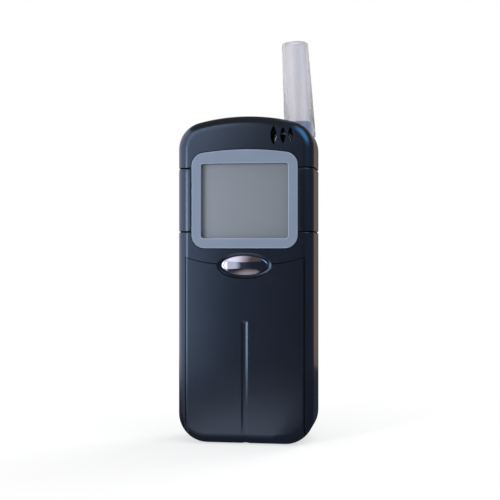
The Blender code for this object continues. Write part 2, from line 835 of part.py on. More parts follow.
# ---------------------------------------------------------------- breath path
def mouthpiece():
    """A tapered, hollow blow tube with a foot flange. It slips over the spigot."""
    lip = arc(
        MOUTHPIECE_TOP_RADIUS - MOUTHPIECE_LIP,
        MOUTHPIECE_LENGTH - MOUTHPIECE_LIP,
        MOUTHPIECE_LIP,
        90,
        0,
        3,
    )
    socket_end = SPIGOT_HEIGHT + 0.0006
    profile = lip + [
        (0.00575, 0.00320),
        (0.00590, 0.00220),
        (0.00590, 0.00120),
        (0.00565, GAP),
        (SPIGOT_RADIUS + 0.0004, GAP),
        (SPIGOT_RADIUS + 0.0003, socket_end),
        (SPIGOT_RADIUS - 0.0002, socket_end + 0.0006),
        (0.00382, MOUTHPIECE_LENGTH - 0.0003),
    ]
    tube = turned("mouthpiece", profile, SEAT, SEAT_ROTATION, closed=True, steps=32)
    return part(tube, "mouthpiece")


def breath_inlet():
    """The spigot that the mouthpiece slips over. Its waist is clamped in the seat's floor."""
    collar_top = -SEAT_FLOOR - GAP
    collar_low = collar_top - 0.0011
    tail_end = -0.0060
    profile = [
        (INLET_BORE, SPIGOT_HEIGHT),
        (SPIGOT_RADIUS - 0.0004, SPIGOT_HEIGHT),
        (SPIGOT_RADIUS, SPIGOT_HEIGHT - 0.0005),
        (SPIGOT_RADIUS, GAP),
        (STEM_RADIUS, GAP),
        (STEM_RADIUS, collar_top),
        (COLLAR_RADIUS, collar_top),
        (COLLAR_RADIUS, collar_low),
        (TAIL_RADIUS, collar_low),
        (TAIL_RADIUS, tail_end),
        (INLET_BORE, tail_end),
    ]
    part(turned("breath_inlet", profile, SEAT, SEAT_ROTATION, closed=True), "inlet")
    wire = 0.00038
    middle = TAIL_RADIUS + wire + 0.00004
    circle = arc(middle, -0.0047, wire, 360, 0, 8)[:-1]
    part(turned("inlet_seal", circle, SEAT, SEAT_ROTATION, closed=True), "rubber")


def sensor_parts():
    """The chamber leads the breath from the spigot's tail to the cup that holds the sensor."""
    cup_radius = SENSOR_RADIUS + 0.0009
    bore_floor_y = -0.0066
    chamber = box("sensor_chamber", (0.0126, 0.0224), (-0.0064, 0.0085), (0.1042, 0.1079), PARTS)
    join(chamber, y_rod("sensor_cup", cup_radius, SENSOR_X, SENSOR_Z, CUP_FRONT_Y, -0.00565))
    cut(
        chamber,
        y_rod("cup_bore", SENSOR_RADIUS + 0.00025, SENSOR_X, SENSOR_Z, -0.012, bore_floor_y),
        seat_cylinder("seal_socket", SEAL_SOCKET_RADIUS, -0.0064, 0.0),
        box("cross_passage", (0.0139, 0.0195), (-0.0009, 0.0009), (0.1060, 0.1072)),
        y_rod("breath_passage", 0.0006, 0.0146, 0.1067, -0.0075, 0.0005, 12),
    )
    part(chamber, "chip")
    rim = SENSOR_RADIUS
    height = bore_floor_y - 0.0001 - CUP_FRONT_Y
    profile = [
        (0.0, height),
        (rim * 0.60, height),
        (rim * 0.66, height - 0.0004),
        (rim * 0.86, height - 0.0004),
        (rim * 0.94, height - 0.0009),
        (rim * 0.94, 0.0009),
        (rim, 0.0009),
        (rim, 0.0),
        (0.0, 0.0),
    ]
    place = (SENSOR_X, bore_floor_y - 0.0001, SENSOR_Z)
    part(turned("alcohol_sensor", profile, place, FACING_FRONT, steps=24), "steel")


# ---------------------------------------------------------------- batteries
def battery_cell(name, x, foot, nub_up):
    """An AA cell: steel ends, a sleeve, and the raised nub of its positive end."""
    nub = 0.0013
    body = CELL_LENGTH - nub
    profile = [
        (0.0, CELL_LENGTH),
        (0.0026, CELL_LENGTH),
        (0.0026, body),
        (CELL_RADIUS - 0.0006, body),
        (CELL_RADIUS, body - 0.0006),
        (CELL_RADIUS, 0.0006),
        (CELL_RADIUS - 0.0006, 0.0),
        (0.0, 0.0),
    ]
    if nub_up:
        cell = turned(name, profile, (x, CELL_Y, foot), steps=32)
    else:
        cell = turned(
            name, profile, (x, CELL_Y, foot + CELL_LENGTH), (math.radians(180), 0.0, 0.0), steps=32
        )
    return part(cell, "cell")


def contact_spring(name, x, wide_z, narrow_z):
    """A conical contact spring, wide on its plate and narrow on the cell's flat end."""
    turns = 3
    per_turn = 10
    wire = 0.0003
    wide, narrow = 0.0050, 0.0028
    count = turns * per_turn
    points = []
    for step in range(count + 1):
        share = step / count
        radius = wide + (narrow - wide) * share
        angle = 2 * math.pi * turns * share
        z = wide_z + (narrow_z - wide_z) * share
        points.append(Vector((x + radius * math.cos(angle), CELL_Y + radius * math.sin(angle), z)))
    gap = min(
        (points[i] - points[j]).length
        for i in range(len(points))
        for j in range(i + per_turn // 2, len(points))
    )
    print(f"{name}: least gap to itself {1000 * (gap - 2 * wire):.2f} mm")
    curve = bpy.data.curves.new(name, "CURVE")
    curve.dimensions = "3D"
    curve.bevel_depth = wire
    curve.bevel_resolution = 1
    curve.use_fill_caps = True
    spline = curve.splines.new("POLY")
    spline.points.add(count)
    for point, place in zip(spline.points, points):
        point.co = (*place, 1.0)
    spring = bpy.data.objects.new(name, curve)
    bpy.context.scene.collection.objects.link(spring)
    finish_object(spring, PARTS, "nickel")


def battery_contacts():
    low = BAY_BOTTOM + 0.00015
    high = BAY_TOP - 0.00015
    thick = 0.0005
    y_range = (-0.0010, 0.0092)
    bridge = box("bridge_contact", (-0.0135, 0.0135), y_range, (low, low + thick), PARTS)
    dimple = cylinder("bridge_dimple", 0.0018, 0.0, 0.0008, (CELL_X, CELL_Y, low), steps=12)
    part(join(bridge, dimple), "nickel")
    positive = box("positive_contact", (-0.0135, -0.0012), y_range, (high - thick, high), PARTS)
    bump = cylinder(
        "positive_bump", 0.0018, -0.0012, -0.0001, (-CELL_X, CELL_Y, high), steps=12
    )
    part(join(positive, bump), "nickel")
    negative = box("negative_contact", (0.0012, 0.0135), y_range, (high - thick, high), PARTS)
    part(negative, "nickel")
    wire = 0.00035
    contact_spring(
        "lower_contact_spring", -CELL_X, low + thick + wire + 0.0001, LEFT_CELL_FOOT - wire - 0.0001
    )
    right_top = RIGHT_CELL_FOOT + CELL_LENGTH
    contact_spring(
        "upper_contact_spring", CELL_X, high - thick - wire - 0.0001, right_top + wire + 0.0001
    )


def battery_door():
    """Swings out on two tabs at its top edge. Its lower end has a thumb grip and a latch tongue."""
    hinge = bpy.data.objects.new("battery_door_hinge", None)
    hinge.location = (0.0, DOOR_HINGE_Y, DOOR_HINGE_Z)
    PARTS.objects.link(hinge)
    door = plate(
        "battery_door",
        rounded_rectangle(DOOR_HALF_WIDTH, DOOR_BOTTOM, DOOR_TOP, DOOR_CORNER),
        DOOR_FRONT_Y,
        BACK_Y,
        PARTS,
    )
    for index, x in enumerate((-TAB_X, TAB_X)):
        tab_x = (x - 0.002, x + 0.002)
        neck_x = (x - 0.0018, x + 0.0018)
        tab = box(f"door_tab_{index}", tab_x, (0.0109, 0.0119), (0.0648, 0.0684))
        neck = box(f"door_neck_{index}", neck_x, (0.0112, 0.0130), (0.0645, 0.0655))
        join(door, tab, neck)
    join(door, box("latch_tongue", (-0.004, 0.004), (0.0102, 0.0130), (0.0083, 0.0092)))
    for row in range(5):
        z = 0.0135 + 0.0022 * row
        half = 0.0070 - 0.0009 * row
        groove_z = (z - 0.0005, z + 0.0005)
        cut(door, box(f"thumb_groove_{row}", (-half, half), (0.0136, 0.016), groove_z))
    door.parent = hinge
    door.matrix_parent_inverse = Matrix.Translation(hinge.location).inverted()
    return part(door, "housing")


def build():
    front_housing()
    rear_housing()
    front_panel()
    side_grip("left_grip", -1)
    side_grip("right_grip", 1)
    lcd_bezel()
    display_parts()
    power_button()
    button_switch()
    main_board()
    board_screws()
    housing_screws()
    mouthpiece()
    breath_inlet()
    sensor_parts()
    battery_cell("left_cell", -CELL_X, LEFT_CELL_FOOT, True)
    battery_cell("right_cell", CELL_X, RIGHT_CELL_FOOT, False)
    battery_contacts()
    battery_door()


build()
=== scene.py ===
"""Looks for a handheld breath alcohol tester that stands upright with its blow tube plugged in.

X is the width, -Y the front with the display, +Z up. All sizes are in metres.
"""

import json
import math

import bmesh
import bpy
from mathutils import Matrix, Vector


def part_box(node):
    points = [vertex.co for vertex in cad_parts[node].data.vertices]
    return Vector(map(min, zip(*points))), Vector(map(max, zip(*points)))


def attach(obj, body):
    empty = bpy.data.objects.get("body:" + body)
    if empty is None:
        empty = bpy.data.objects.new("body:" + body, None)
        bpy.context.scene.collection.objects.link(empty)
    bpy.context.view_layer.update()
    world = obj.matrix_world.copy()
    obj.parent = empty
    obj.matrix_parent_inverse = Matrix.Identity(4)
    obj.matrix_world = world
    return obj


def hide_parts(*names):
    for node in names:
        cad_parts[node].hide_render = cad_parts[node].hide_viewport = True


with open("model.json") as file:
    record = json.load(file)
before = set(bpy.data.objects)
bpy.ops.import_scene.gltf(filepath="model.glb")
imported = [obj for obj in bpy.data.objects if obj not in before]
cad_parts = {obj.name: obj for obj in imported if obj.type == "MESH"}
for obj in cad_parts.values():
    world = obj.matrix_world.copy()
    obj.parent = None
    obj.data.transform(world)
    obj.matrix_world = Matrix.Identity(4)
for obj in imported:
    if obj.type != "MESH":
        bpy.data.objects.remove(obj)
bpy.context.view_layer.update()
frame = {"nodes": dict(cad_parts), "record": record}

# ---------------------------------------------------------------- sizes, as on the frame
HALF_WIDTH = 0.0249
BODY_TOP = 0.119
FOOT_CORNER = 0.0105
TOP_CORNER = 0.010
TOP_ARC = 0.072
FRONT_Y = -0.0134
BACK_Y = 0.014
PARTING_Y = 0.0025
SEAM = 0.00015
FRONT_ROUND = 0.0042
BACK_ROUND = 0.0065
WALL = 0.0022
SHELL_EDGE = 0.00014
FAR = 0.006

PANEL_HALF_WIDTH = 0.0215
PANEL_GAP = 0.0003
PANEL_TOP = 0.0675
PANEL_THICKNESS = 0.00115
PANEL_SEAT_DEPTH = 0.0014
PANEL_EDGE = 0.00018
THROAT_HALF_WIDTH = 0.0106
THROAT_Z = 0.0652
BUTTON_Z = 0.06477
BUTTON_HALF_WIDTH = 0.00857
BUTTON_HALF_HEIGHT = 0.00355
DISH_HALF_WIDTH = 0.0102
DISH_HALF_HEIGHT = 0.0049
GROOVE_HALF_WIDTH = 0.00125
GROOVE_TOP = 0.0447
GROOVE_DEPTH = 0.0002
GROOVE_FLOOR = 0.36

BEZEL_HALF_WIDTH = 0.0192
BEZEL_BOTTOM = 0.0711
BEZEL_TOP = 0.1064
BEZEL_CORNER = 0.0046
BEZEL_ARC = 0.110
BEZEL_FRONT_Y = -0.01385
BEZEL_BACK_Y = -0.0125
BEZEL_GAP = 0.00045
WINDOW_HALF_WIDTH = 0.01595
WINDOW_BOTTOM = 0.0745
WINDOW_TOP = 0.1016

GRIP_BOTTOM = 0.0771
GRIP_TOP = 0.0999
GRIP_SEAM = 0.00036
SEAM_SINK = 0.00045
SEAM_LIP = 0.0004
GRIP_SINK = 0.0010
GRIP_THICKNESS = 0.0008
GRIP_FRONT_X = 0.01965
GRIP_BACK_X = 0.0175

SEAT = Vector((0.01855, PARTING_Y, 0.1118))
SEAT_LEAN = math.radians(-3.3)
SEAT_CORE_RADIUS = 0.0079
TUBE_POCKET_RADIUS = 0.0062
STEM_HOLE_RADIUS = 0.0027
MOUTHPIECE_LENGTH = 0.0357
SPIGOT_RADIUS = 0.0046
SPIGOT_HEIGHT = 0.0062
SENSOR = Vector((0.0136, -0.0067, 0.1097))
SLOTS = ((0.0106, 0.00115, 0.00345), (0.0140, 0.0010, 0.00305), (0.0167, 0.0009, 0.0028))
SLOT_Z = 0.1116
BELOW_SLOTS = 0.108

CELL_X = 0.00745
CELL_Y = 0.00465
CELL_LENGTH = 0.0505
CELLS = (("left_cell", -CELL_X, 0.0125, True), ("right_cell", CELL_X, 0.0091, False))
DOOR_TAB_X = 0.0090
HOUSING_SCREWS = (
    (0.0, 0.1115),
    (-0.0206, 0.0715),
    (0.0206, 0.0715),
    (-0.0206, 0.0120),
    (0.0206, 0.0120),
)

MERGE = 0.000002
NEAR = 0.00001
ZERO = (0.0, 0.0, 0.0)
TO_FRONT = (math.radians(90), 0.0, 0.0)
TO_BACK = (math.radians(-90), 0.0, 0.0)
SEAT_TURN = (0.0, SEAT_LEAN, 0.0)


# ---------------------------------------------------------------- modelling helpers
def deselect():
    if bpy.context.object and bpy.context.object.mode != "OBJECT":
        bpy.ops.object.mode_set(mode="OBJECT")
    bpy.ops.object.select_all(action="DESELECT")


def take(item):
    """Makes the item the one selected and active object."""
    deselect()
    item.select_set(True)
    bpy.context.view_layer.objects.active = item
    return item


def edit(item):
    """Starts to edit the item's mesh, with nothing selected."""
    take(item)
    bpy.ops.object.mode_set(mode="EDIT")
    bpy.ops.mesh.select_mode(type="VERT")
    bpy.ops.mesh.select_all(action="DESELECT")


def leave():
    bpy.ops.object.mode_set(mode="OBJECT")


def select(kind, test):
    """In edit mode, selects the verts, edges or faces that pass the test, and nothing else."""
    bpy.ops.mesh.select_mode(type={"verts": "VERT", "edges": "EDGE", "faces": "FACE"}[kind])
    bpy.ops.mesh.select_all(action="DESELECT")
    shape = bmesh.from_edit_mesh(bpy.context.object.data)
    found = [part for part in getattr(shape, kind) if test(part)]
    for part in found:
        part.select_set(True)
    shape.select_flush_mode()
    bmesh.update_edit_mesh(bpy.context.object.data)
    return len(found)


def select_all():
    bpy.ops.mesh.select_all(action="SELECT")


def extrude(x, y, z):
    """In edit mode, draws the selection out by a step."""
    bpy.ops.mesh.extrude_region_move(TRANSFORM_OT_translate={"value": (x, y, z)})


def close_ends():
    """In edit mode, joins an outline's two ends where they lie apart, and selects it all."""
    if select("verts", lambda vert: len(vert.link_edges) == 1):
        bpy.ops.mesh.edge_face_add()
    select_all()


def added(name, operator, **options):
    """What an operator adds, named, with nothing else selected."""
    deselect()
    operator(**options)
    bpy.context.object.name = name
    return bpy.context.object


def linked(name, data):
    """A new object in the scene for a curve, lamp or camera."""
    item = bpy.data.objects.new(name, data)
    bpy.context.scene.collection.objects.link(item)
    return item


def apply_place(item):
    take(item)
    bpy.ops.object.transform_apply(location=True, rotation=True, scale=True)
    return item


def apply_modifiers(item):
    take(item)
    for modifier in list(item.modifiers):
        bpy.ops.object.modifier_apply(modifier=modifier.name)
    return item


def combine(item, other, operation):
    """Cuts, joins or trims the item with the other shape, which is then gone."""
    modifier = item.modifiers.new(operation.title(), "BOOLEAN")
    modifier.operation = operation
    modifier.solver = "EXACT"
    modifier.object = other
    take(item)
    bpy.ops.object.modifier_apply(modifier=modifier.name)
    bpy.data.objects.remove(other, do_unlink=True)
    return item


def cut(item, *others):
    for other in others:
        combine(item, other, "DIFFERENCE")
    return item


def join(item, *others):
    for other in others:
        combine(item, other, "UNION")
    return item


def trim(item, other):
    return combine(item, other, "INTERSECT")


def point_at(name, x, y, z):
    """A single point to draw an outline from, left in edit mode."""
    item = added(name, bpy.ops.mesh.primitive_plane_add, size=0.001, location=ZERO)
    edit(item)
    select_all()
    bpy.ops.mesh.merge(type="CENTER")
    bpy.ops.transform.translate(value=(x, y, z))
    return item


def draw(name, start, moves, y):
    """Draws a closed outline in the plane at y. A move is a straight run (dx, dz) or a turn.

    A turn is ((centre x, centre z), degrees, steps), positive from +X towards +Z.
    """
    item = point_at(name, start[0], y, start[1])
    for move in moves:
        if len(move) == 2:
            extrude(move[0], 0.0, move[1])
        else:
            (centre_x, centre_z), degrees, steps = move
            bpy.ops.mesh.spin(
                steps=steps,
                angle=math.radians(degrees),
                center=(centre_x, y, centre_z),
                axis=(0.0, 1.0, 0.0),
            )
    select_all()
    bpy.ops.mesh.remove_doubles(threshold=MERGE)
    close_ends()
    bpy.ops.mesh.edge_face_add()
    leave()
    return item


def thicken(item, depth):
    """Gives a flat outline its thickness towards +Y."""
    edit(item)
    select_all()
    extrude(0.0, depth, 0.0)
    select_all()
    bpy.ops.mesh.normals_make_consistent(inside=False)
    leave()
    return item


def round_edges(item, test, width, steps):
    """Bevels the edges that pass the test into a round."""
    edit(item)
    if select("edges", test):
        bpy.ops.mesh.bevel(offset=width, segments=steps, profile=0.5, affect="EDGES")
    leave()
    return item


def lies_at(y):
    """Tells which edges lie in the plane at y."""
    return lambda edge: all(abs(vert.co.y - y) < MERGE for vert in edge.verts)


def crowned(name, half_width, bottom, top, low, high, crown, y, fine=1):
    """A box outline with round corners and an arched top."""
    low_x, low_z = half_width - low, bottom + low
    high_x, crown_z = half_width - high, top - crown
    high_z = crown_z + math.sqrt((crown - high) ** 2 - high_x**2)
    meet = math.degrees(math.atan2(high_z - crown_z, high_x))
    moves = [
        ((low_x, low_z), 90, 12 * fine),
        (0.0, high_z - low_z),
        ((high_x, high_z), meet, 10 * fine),
        ((0.0, crown_z), 180 - 2 * meet, 24 * fine),
        ((-high_x, high_z), meet, 10 * fine),
        (0.0, low_z - high_z),
        ((-low_x, low_z), 90, 12 * fine),
    ]
    return draw(name, (low_x, bottom), moves, y)


def rounded_box_outline(name, half_width, bottom, top, corner, y, steps=6):
    """A box outline with four equal round corners."""
    x, low, high = half_width - corner, bottom + corner, top - corner
    moves = [
        ((x, low), 90, steps),
        (0.0, high - low),
        ((x, high), 90, steps),
        (-2 * x, 0.0),
        ((-x, high), 90, steps),
        (0.0, low - high),
        ((-x, low), 90, steps),
    ]
    return draw(name, (x, bottom), moves, y)


def body_block(name, inset, y_front, y_back, front_round=0.0, back_round=0.0):
    """The tester's outer form, moved inwards by inset, between two depths."""
    form = crowned(
        name,
        HALF_WIDTH - inset,
        inset,
        BODY_TOP - inset,
        FOOT_CORNER - inset,
        TOP_CORNER - inset,
        TOP_ARC - inset,
        y_front,
    )
    thicken(form, y_back - y_front)
    if front_round:
        round_edges(form, lies_at(y_front), front_round, 8)
    if back_round:
        round_edges(form, lies_at(y_back), back_round, 10)
    return form


def front_form(name, inset, y_back):
    """The outer form from its round front edges back to a depth, moved inwards by inset."""
    return body_block(name, inset, FRONT_Y + inset, y_back, front_round=FRONT_ROUND - inset)


def bezel_plan(name, grow, y, fine=1):
    """The display frame's outline, moved outwards by grow."""
    return crowned(
        name,
        BEZEL_HALF_WIDTH + grow,
        BEZEL_BOTTOM - grow,
        BEZEL_TOP + grow,
        BEZEL_CORNER + grow,
        BEZEL_CORNER + grow,
        BEZEL_ARC + grow,
        y,
        fine,
    )


def full_form(name, inset):
    """The whole outer form with its round edges front and back, moved inwards by inset."""
    return body_block(
        name, inset, FRONT_Y + inset, BACK_Y - inset, FRONT_ROUND - inset, BACK_ROUND - inset
    )


def block(name, x, y, z):
    """A box between two values on each axis."""
    middle = [(low + high) / 2 for low, high in (x, y, z)]
    item = added(name, bpy.ops.mesh.primitive_cube_add, size=1.0, location=middle)
    item.scale = [high - low for low, high in (x, y, z)]
    return apply_place(item)


def ellipsoid(name, middle, halves, segments, rings):
    """A ball stretched to its half sizes on each axis."""
    operator = bpy.ops.mesh.primitive_uv_sphere_add
    item = added(name, operator, segments=segments, ring_count=rings, radius=1.0)
    item.location = middle
    item.scale = halves
    return apply_place(item)


def rod(name, radius, length, middle, turn, sides):
    """A round bar about its middle, turned from upright."""
    item = added(
        name,
        bpy.ops.mesh.primitive_cylinder_add,
        vertices=sides,
        radius=radius,
        depth=length,
        location=middle,
        rotation=turn,
    )
    return apply_place(item)


def rod_y(name, radius, x, z, y_low, y_high, sides=32):
    """A round bar along Y."""
    return rod(name, radius, y_high - y_low, (x, (y_low + y_high) / 2, z), TO_FRONT, sides)


def seat_rod(name, radius, low, high):
    """A round bar on the blow tube's leaning axis, its heights measured from the seat."""
    lean = Matrix.Rotation(SEAT_LEAN, 4, "Y")
    middle = SEAT + lean @ Vector((0.0, 0.0, (low + high) / 2))
    return rod(name, radius, high - low, middle, SEAT_TURN, 64)


def turn_profile(name, profile, place, turn=ZERO, closed=False, steps=64):
    """Draws (radius, height) points one after the other and spins them about local Z."""
    radius, height = profile[0]
    item = point_at(name, radius, 0.0, height)
    for near, far in zip(profile, profile[1:]):
        extrude(far[0] - near[0], 0.0, far[1] - near[1])
    if closed:
        close_ends()
    select_all()
    bpy.ops.mesh.spin(
        steps=steps, angle=math.radians(360), center=(0.0, 0.0, 0.0), axis=(0.0, 0.0, 1.0)
    )
    select_all()
    bpy.ops.mesh.remove_doubles(threshold=MERGE)
    bpy.ops.mesh.normals_make_consistent(inside=False)
    leave()
    item.location = place
    item.rotation_euler = turn
    return apply_place(item)


def arc_points(centre_x, centre_z, radius, start, end, steps):
    """Profile points on an arc, from start to end degrees."""
    angles = [math.radians(start + (end - start) * i / steps) for i in range(steps + 1)]
    return [(centre_x + radius * math.cos(a), centre_z + radius * math.sin(a)) for a in angles]


def soften(item, width, steps=3, angle=32.0):
    """Breaks the sharp edges that a mould leaves, with a small even round."""
    modifier = item.modifiers.new("Soft edges", "BEVEL")
    modifier.width = width
    modifier.segments = steps
    modifier.limit_method = "ANGLE"
    modifier.angle_limit = math.radians(angle)
    modifier.miter_outer = "MITER_ARC"
    return item


def smooth(item, angle):
    """Smooth shading, but sharp at edges that turn by more than an angle in degrees."""
    take(item)
    bpy.ops.object.shade_smooth_by_angle(angle=math.radians(angle))
    return item


def shade(item, angle=38.0, crisp=None):
    """Smooth shading that keeps large flat faces flat, and the edges in crisp sharp."""
    smooth(apply_modifiers(item), angle)
    if crisp:
        edit(item)
        select("edges", crisp)
        bpy.ops.mesh.mark_sharp()
        leave()
    modifier = item.modifiers.new("Flat faces lead", "WEIGHTED_NORMAL")
    modifier.keep_sharp = True
    modifier.weight = 80
    return apply_modifiers(item)


def tidy_mesh(item):
    """Merges what a cut leaves doubled and takes out edges inside flat faces."""
    edit(item)
    select_all()
    bpy.ops.mesh.remove_doubles(threshold=0.000004)
    bpy.ops.mesh.dissolve_limited(angle_limit=math.radians(0.3))
    leave()
    return item


def divide(item, axis, *places):
    """Runs an edge round the piece at each place along an axis, so that no face grows too large."""
    for place in places:
        plane = Vector([place if name == axis else 0.0 for name in "XYZ"])
        edit(item)
        select_all()
        bpy.ops.mesh.bisect(plane_co=plane, plane_no=plane.normalized())
        leave()
    return item


# ---------------------------------------------------------------- finishes
def srgb(red, green, blue):
    """A colour as a screen shows it, 0 to 255, in the linear values that a shader takes."""

    def linear(value):
        value /= 255
        return value / 12.92 if value <= 0.04045 else ((value + 0.055) / 1.055) ** 2.4

    return (linear(red), linear(green), linear(blue), 1.0)


def add_node(tree, kind, **values):
    """Adds a node and sets its properties, or else its inputs, by their names."""
    node = tree.nodes.new(kind)
    for name, value in values.items():
        if name in node.bl_rna.properties:
            setattr(node, name, value)
        else:
            node.inputs[name.replace("_", " ")].default_value = value
    return node


def link(tree, *runs):
    """Joins sockets. A run is (node, its output, next node, its input)."""
    for source, output, target, socket in runs:
        tree.links.new(source.outputs[output], target.inputs[socket])


def set_tones(node, stops):
    """Fills a colour ramp. The first two stops are the ones that a new ramp has."""
    ramp = node.color_ramp.elements
    for index, (place, colour) in enumerate(stops):
        stop = ramp[index] if index < 2 else ramp.new(place)
        stop.position = place
        stop.color = colour


def new_group(name, output, **inputs):
    """A node group that takes coordinates and the named inputs, and gives one output."""
    group = bpy.data.node_groups.new(name, "ShaderNodeTree")
    group.interface.new_socket("Vector", in_out="INPUT", socket_type="NodeSocketVector")
    for label, value in inputs.items():
        kind = "NodeSocketColor" if isinstance(value, tuple) else "NodeSocketFloat"
        socket = group.interface.new_socket(label, in_out="INPUT", socket_type=kind)
        socket.default_value = value
    kind = "NodeSocketColor" if output == "Colour" else "NodeSocketFloat"
    group.interface.new_socket(output, in_out="OUTPUT", socket_type=kind)
    return group, group.nodes.new("NodeGroupInput"), group.nodes.new("NodeGroupOutput")


def moulded_grain_group():
    """The fine pebbled texture that a spark-eroded mould leaves on plastic."""
    group, given, made = new_group("moulded_grain", "Height", Scale=2600.0)
    pebbles = add_node(group, "ShaderNodeTexVoronoi", feature="SMOOTH_F1", Smoothness=0.6)
    haze = add_node(group, "ShaderNodeTexNoise", Detail=3.0, Roughness=0.6)
    blend = add_node(group, "ShaderNodeMath", operation="ADD")
    link(
        group,
        (given, "Vector", pebbles, "Vector"),
        (given, "Vector", haze, "Vector"),
        (given, "Scale", pebbles, "Scale"),
        (given, "Scale", haze, "Scale"),
        (pebbles, "Distance", blend, 0),
        (haze, "Fac", blend, 1),
        (blend, 0, made, "Height"),
    )
    return group


def tone_drift_group():
    """A slow, faint change of tone over a moulded or painted face."""
    group, given, made = new_group(
        "tone_drift", "Colour", Colour=(0.5, 0.5, 0.5, 1.0), Drift=0.1, Scale=60.0
    )
    clouds = add_node(group, "ShaderNodeTexNoise", Detail=4.0, Roughness=0.55)
    low = add_node(group, "ShaderNodeMath", operation="SUBTRACT")
    high = add_node(group, "ShaderNodeMath", operation="ADD")
    for limit in (low, high):
        limit.inputs[0].default_value = 1.0
    reach = add_node(group, "ShaderNodeMapRange", From_Min=0.25, From_Max=0.75)
    tint = add_node(group, "ShaderNodeVectorMath", operation="SCALE")
    link(
        group,
        (given, "Vector", clouds, "Vector"),
        (given, "Scale", clouds, "Scale"),
        (given, "Drift", low, 1),
        (given, "Drift", high, 1),
        (clouds, "Fac", reach, "Value"),
        (low, 0, reach, "To Min"),
        (high, 0, reach, "To Max"),
        (given, "Colour", tint, 0),
        (reach, "Result", tint, "Scale"),
        (tint, "Vector", made, "Colour"),
    )
    return group


def handled_sheen_group():
    """Roughness that varies softly where hands have polished or smeared the surface."""
    group, given, made = new_group(
        "handled_sheen", "Roughness", Roughness=0.4, Spread=0.05, Scale=90.0
    )
    smears = add_node(group, "ShaderNodeTexNoise", Detail=5.0, Roughness=0.6, Distortion=0.4)
    centre = add_node(group, "ShaderNodeMath", operation="SUBTRACT")
    centre.inputs[1].default_value = 0.5
    reach = add_node(group, "ShaderNodeMath", operation="MULTIPLY")
    total = add_node(group, "ShaderNodeMath", operation="ADD", use_clamp=True)
    link(
        group,
        (given, "Vector", smears, "Vector"),
        (given, "Scale", smears, "Scale"),
        (smears, "Fac", centre, 0),
        (centre, 0, reach, 0),
        (given, "Spread", reach, 1),
        (reach, 0, total, 0),
        (given, "Roughness", total, 1),
        (total, 0, made, "Roughness"),
    )
    return group


def fine_dust_group():
    """Sparse pale specks of dust."""
    group, given, made = new_group(
        "fine_dust", "Colour", Colour=(0.5, 0.5, 0.5, 1.0), Amount=0.3
    )
    specks = add_node(group, "ShaderNodeTexVoronoi", feature="F1", Scale=420.0, Randomness=1.0)
    near = add_node(group, "ShaderNodeMapRange", From_Min=0.10, From_Max=0.05)
    patches = add_node(group, "ShaderNodeTexNoise", Scale=140.0, Detail=2.0)
    where = add_node(group, "ShaderNodeMapRange", From_Min=0.56, From_Max=0.68)
    both = add_node(group, "ShaderNodeMath", operation="MULTIPLY")
    share = add_node(group, "ShaderNodeMath", operation="MULTIPLY")
    mix = add_node(group, "ShaderNodeMix", data_type="RGBA")
    mix.inputs["B"].default_value = (0.32, 0.32, 0.33, 1.0)
    link(
        group,
        (given, "Vector", specks, "Vector"),
        (given, "Vector", patches, "Vector"),
        (specks, "Distance", near, "Value"),
        (patches, "Fac", where, "Value"),
        (near, "Result", both, 0),
        (where, "Result", both, 1),
        (both, 0, share, 0),
        (given, "Amount", share, 1),
        (share, 0, mix, "Factor"),
        (given, "Colour", mix, "A"),
        (mix, "Result", made, "Colour"),
    )
    return group


GRAIN = moulded_grain_group()
DRIFT = tone_drift_group()
SHEEN = handled_sheen_group()
DUST = fine_dust_group()


def use_group(tree, group, where, **values):
    """Places a node group on the surface's own coordinates, with its values."""
    node = tree.nodes.new("ShaderNodeGroup")
    node.node_tree = group
    link(tree, (where, "Object", node, "Vector"))
    for name, value in values.items():
        node.inputs[name].default_value = value
    return node


def add_sheen(tree, shader, where, roughness, spread):
    """Varies the shader's roughness as handling does."""
    sheen = use_group(tree, SHEEN, where, Roughness=roughness, Spread=spread)
    link(tree, (sheen, "Roughness", shader, "Roughness"))


def add_relief(tree, shader, source, output, strength, distance):
    """Raises and sinks the surface by a node's output."""
    relief = add_node(tree, "ShaderNodeBump", Strength=strength, Distance=distance)
    link(tree, (source, output, relief, "Height"), (relief, "Normal", shader, "Normal"))


def new_finish(name, colour, roughness, metallic=0.0, **shader_values):
    """A material with its shader's plain values set, and the node for its coordinates."""
    material = bpy.data.materials.new(name)
    material.use_nodes = True
    tree = material.node_tree
    shader = tree.nodes["Principled BSDF"]
    shader.inputs["Base Color"].default_value = colour
    shader.inputs["Roughness"].default_value = roughness
    shader.inputs["Metallic"].default_value = metallic
    for label, value in shader_values.items():
        shader.inputs[label.replace("_", " ")].default_value = value
    material.diffuse_color = colour
    return material, tree, shader, add_node(tree, "ShaderNodeTexCoord")


def surface(
    name, colour, roughness, drift=0.08, spread=0.08, grain=2600.0, bump=0.05, dust=0.0, **more
):
    """A moulded, painted or metal finish: tone drift, varied sheen, fine texture and dust."""
    material, tree, shader, where = new_finish(name, colour, roughness, **more)
    tone = use_group(tree, DRIFT, where, Colour=colour, Drift=drift)
    if dust:
        specks = use_group(tree, DUST, where, Amount=dust)
        link(tree, (tone, "Colour", specks, "Colour"))
        tone = specks
    link(tree, (tone, "Colour", shader, "Base Color"))
    add_sheen(tree, shader, where, roughness, spread)
    pebbles = use_group(tree, GRAIN, where, Scale=grain)
    add_relief(tree, shader, pebbles, "Height", bump, 0.00002)
    return material


def satin_finish(name, roughness, bump, dust):
    """Black satin lacquer with a blue cast in its gloss."""
    return surface(
        name,
        srgb(21, 24, 33),
        roughness,
        drift=0.11,
        bump=bump,
        dust=dust,
        Specular_IOR_Level=1.0,
        Specular_Tint=(0.54, 0.76, 1.0, 1.0),
    )


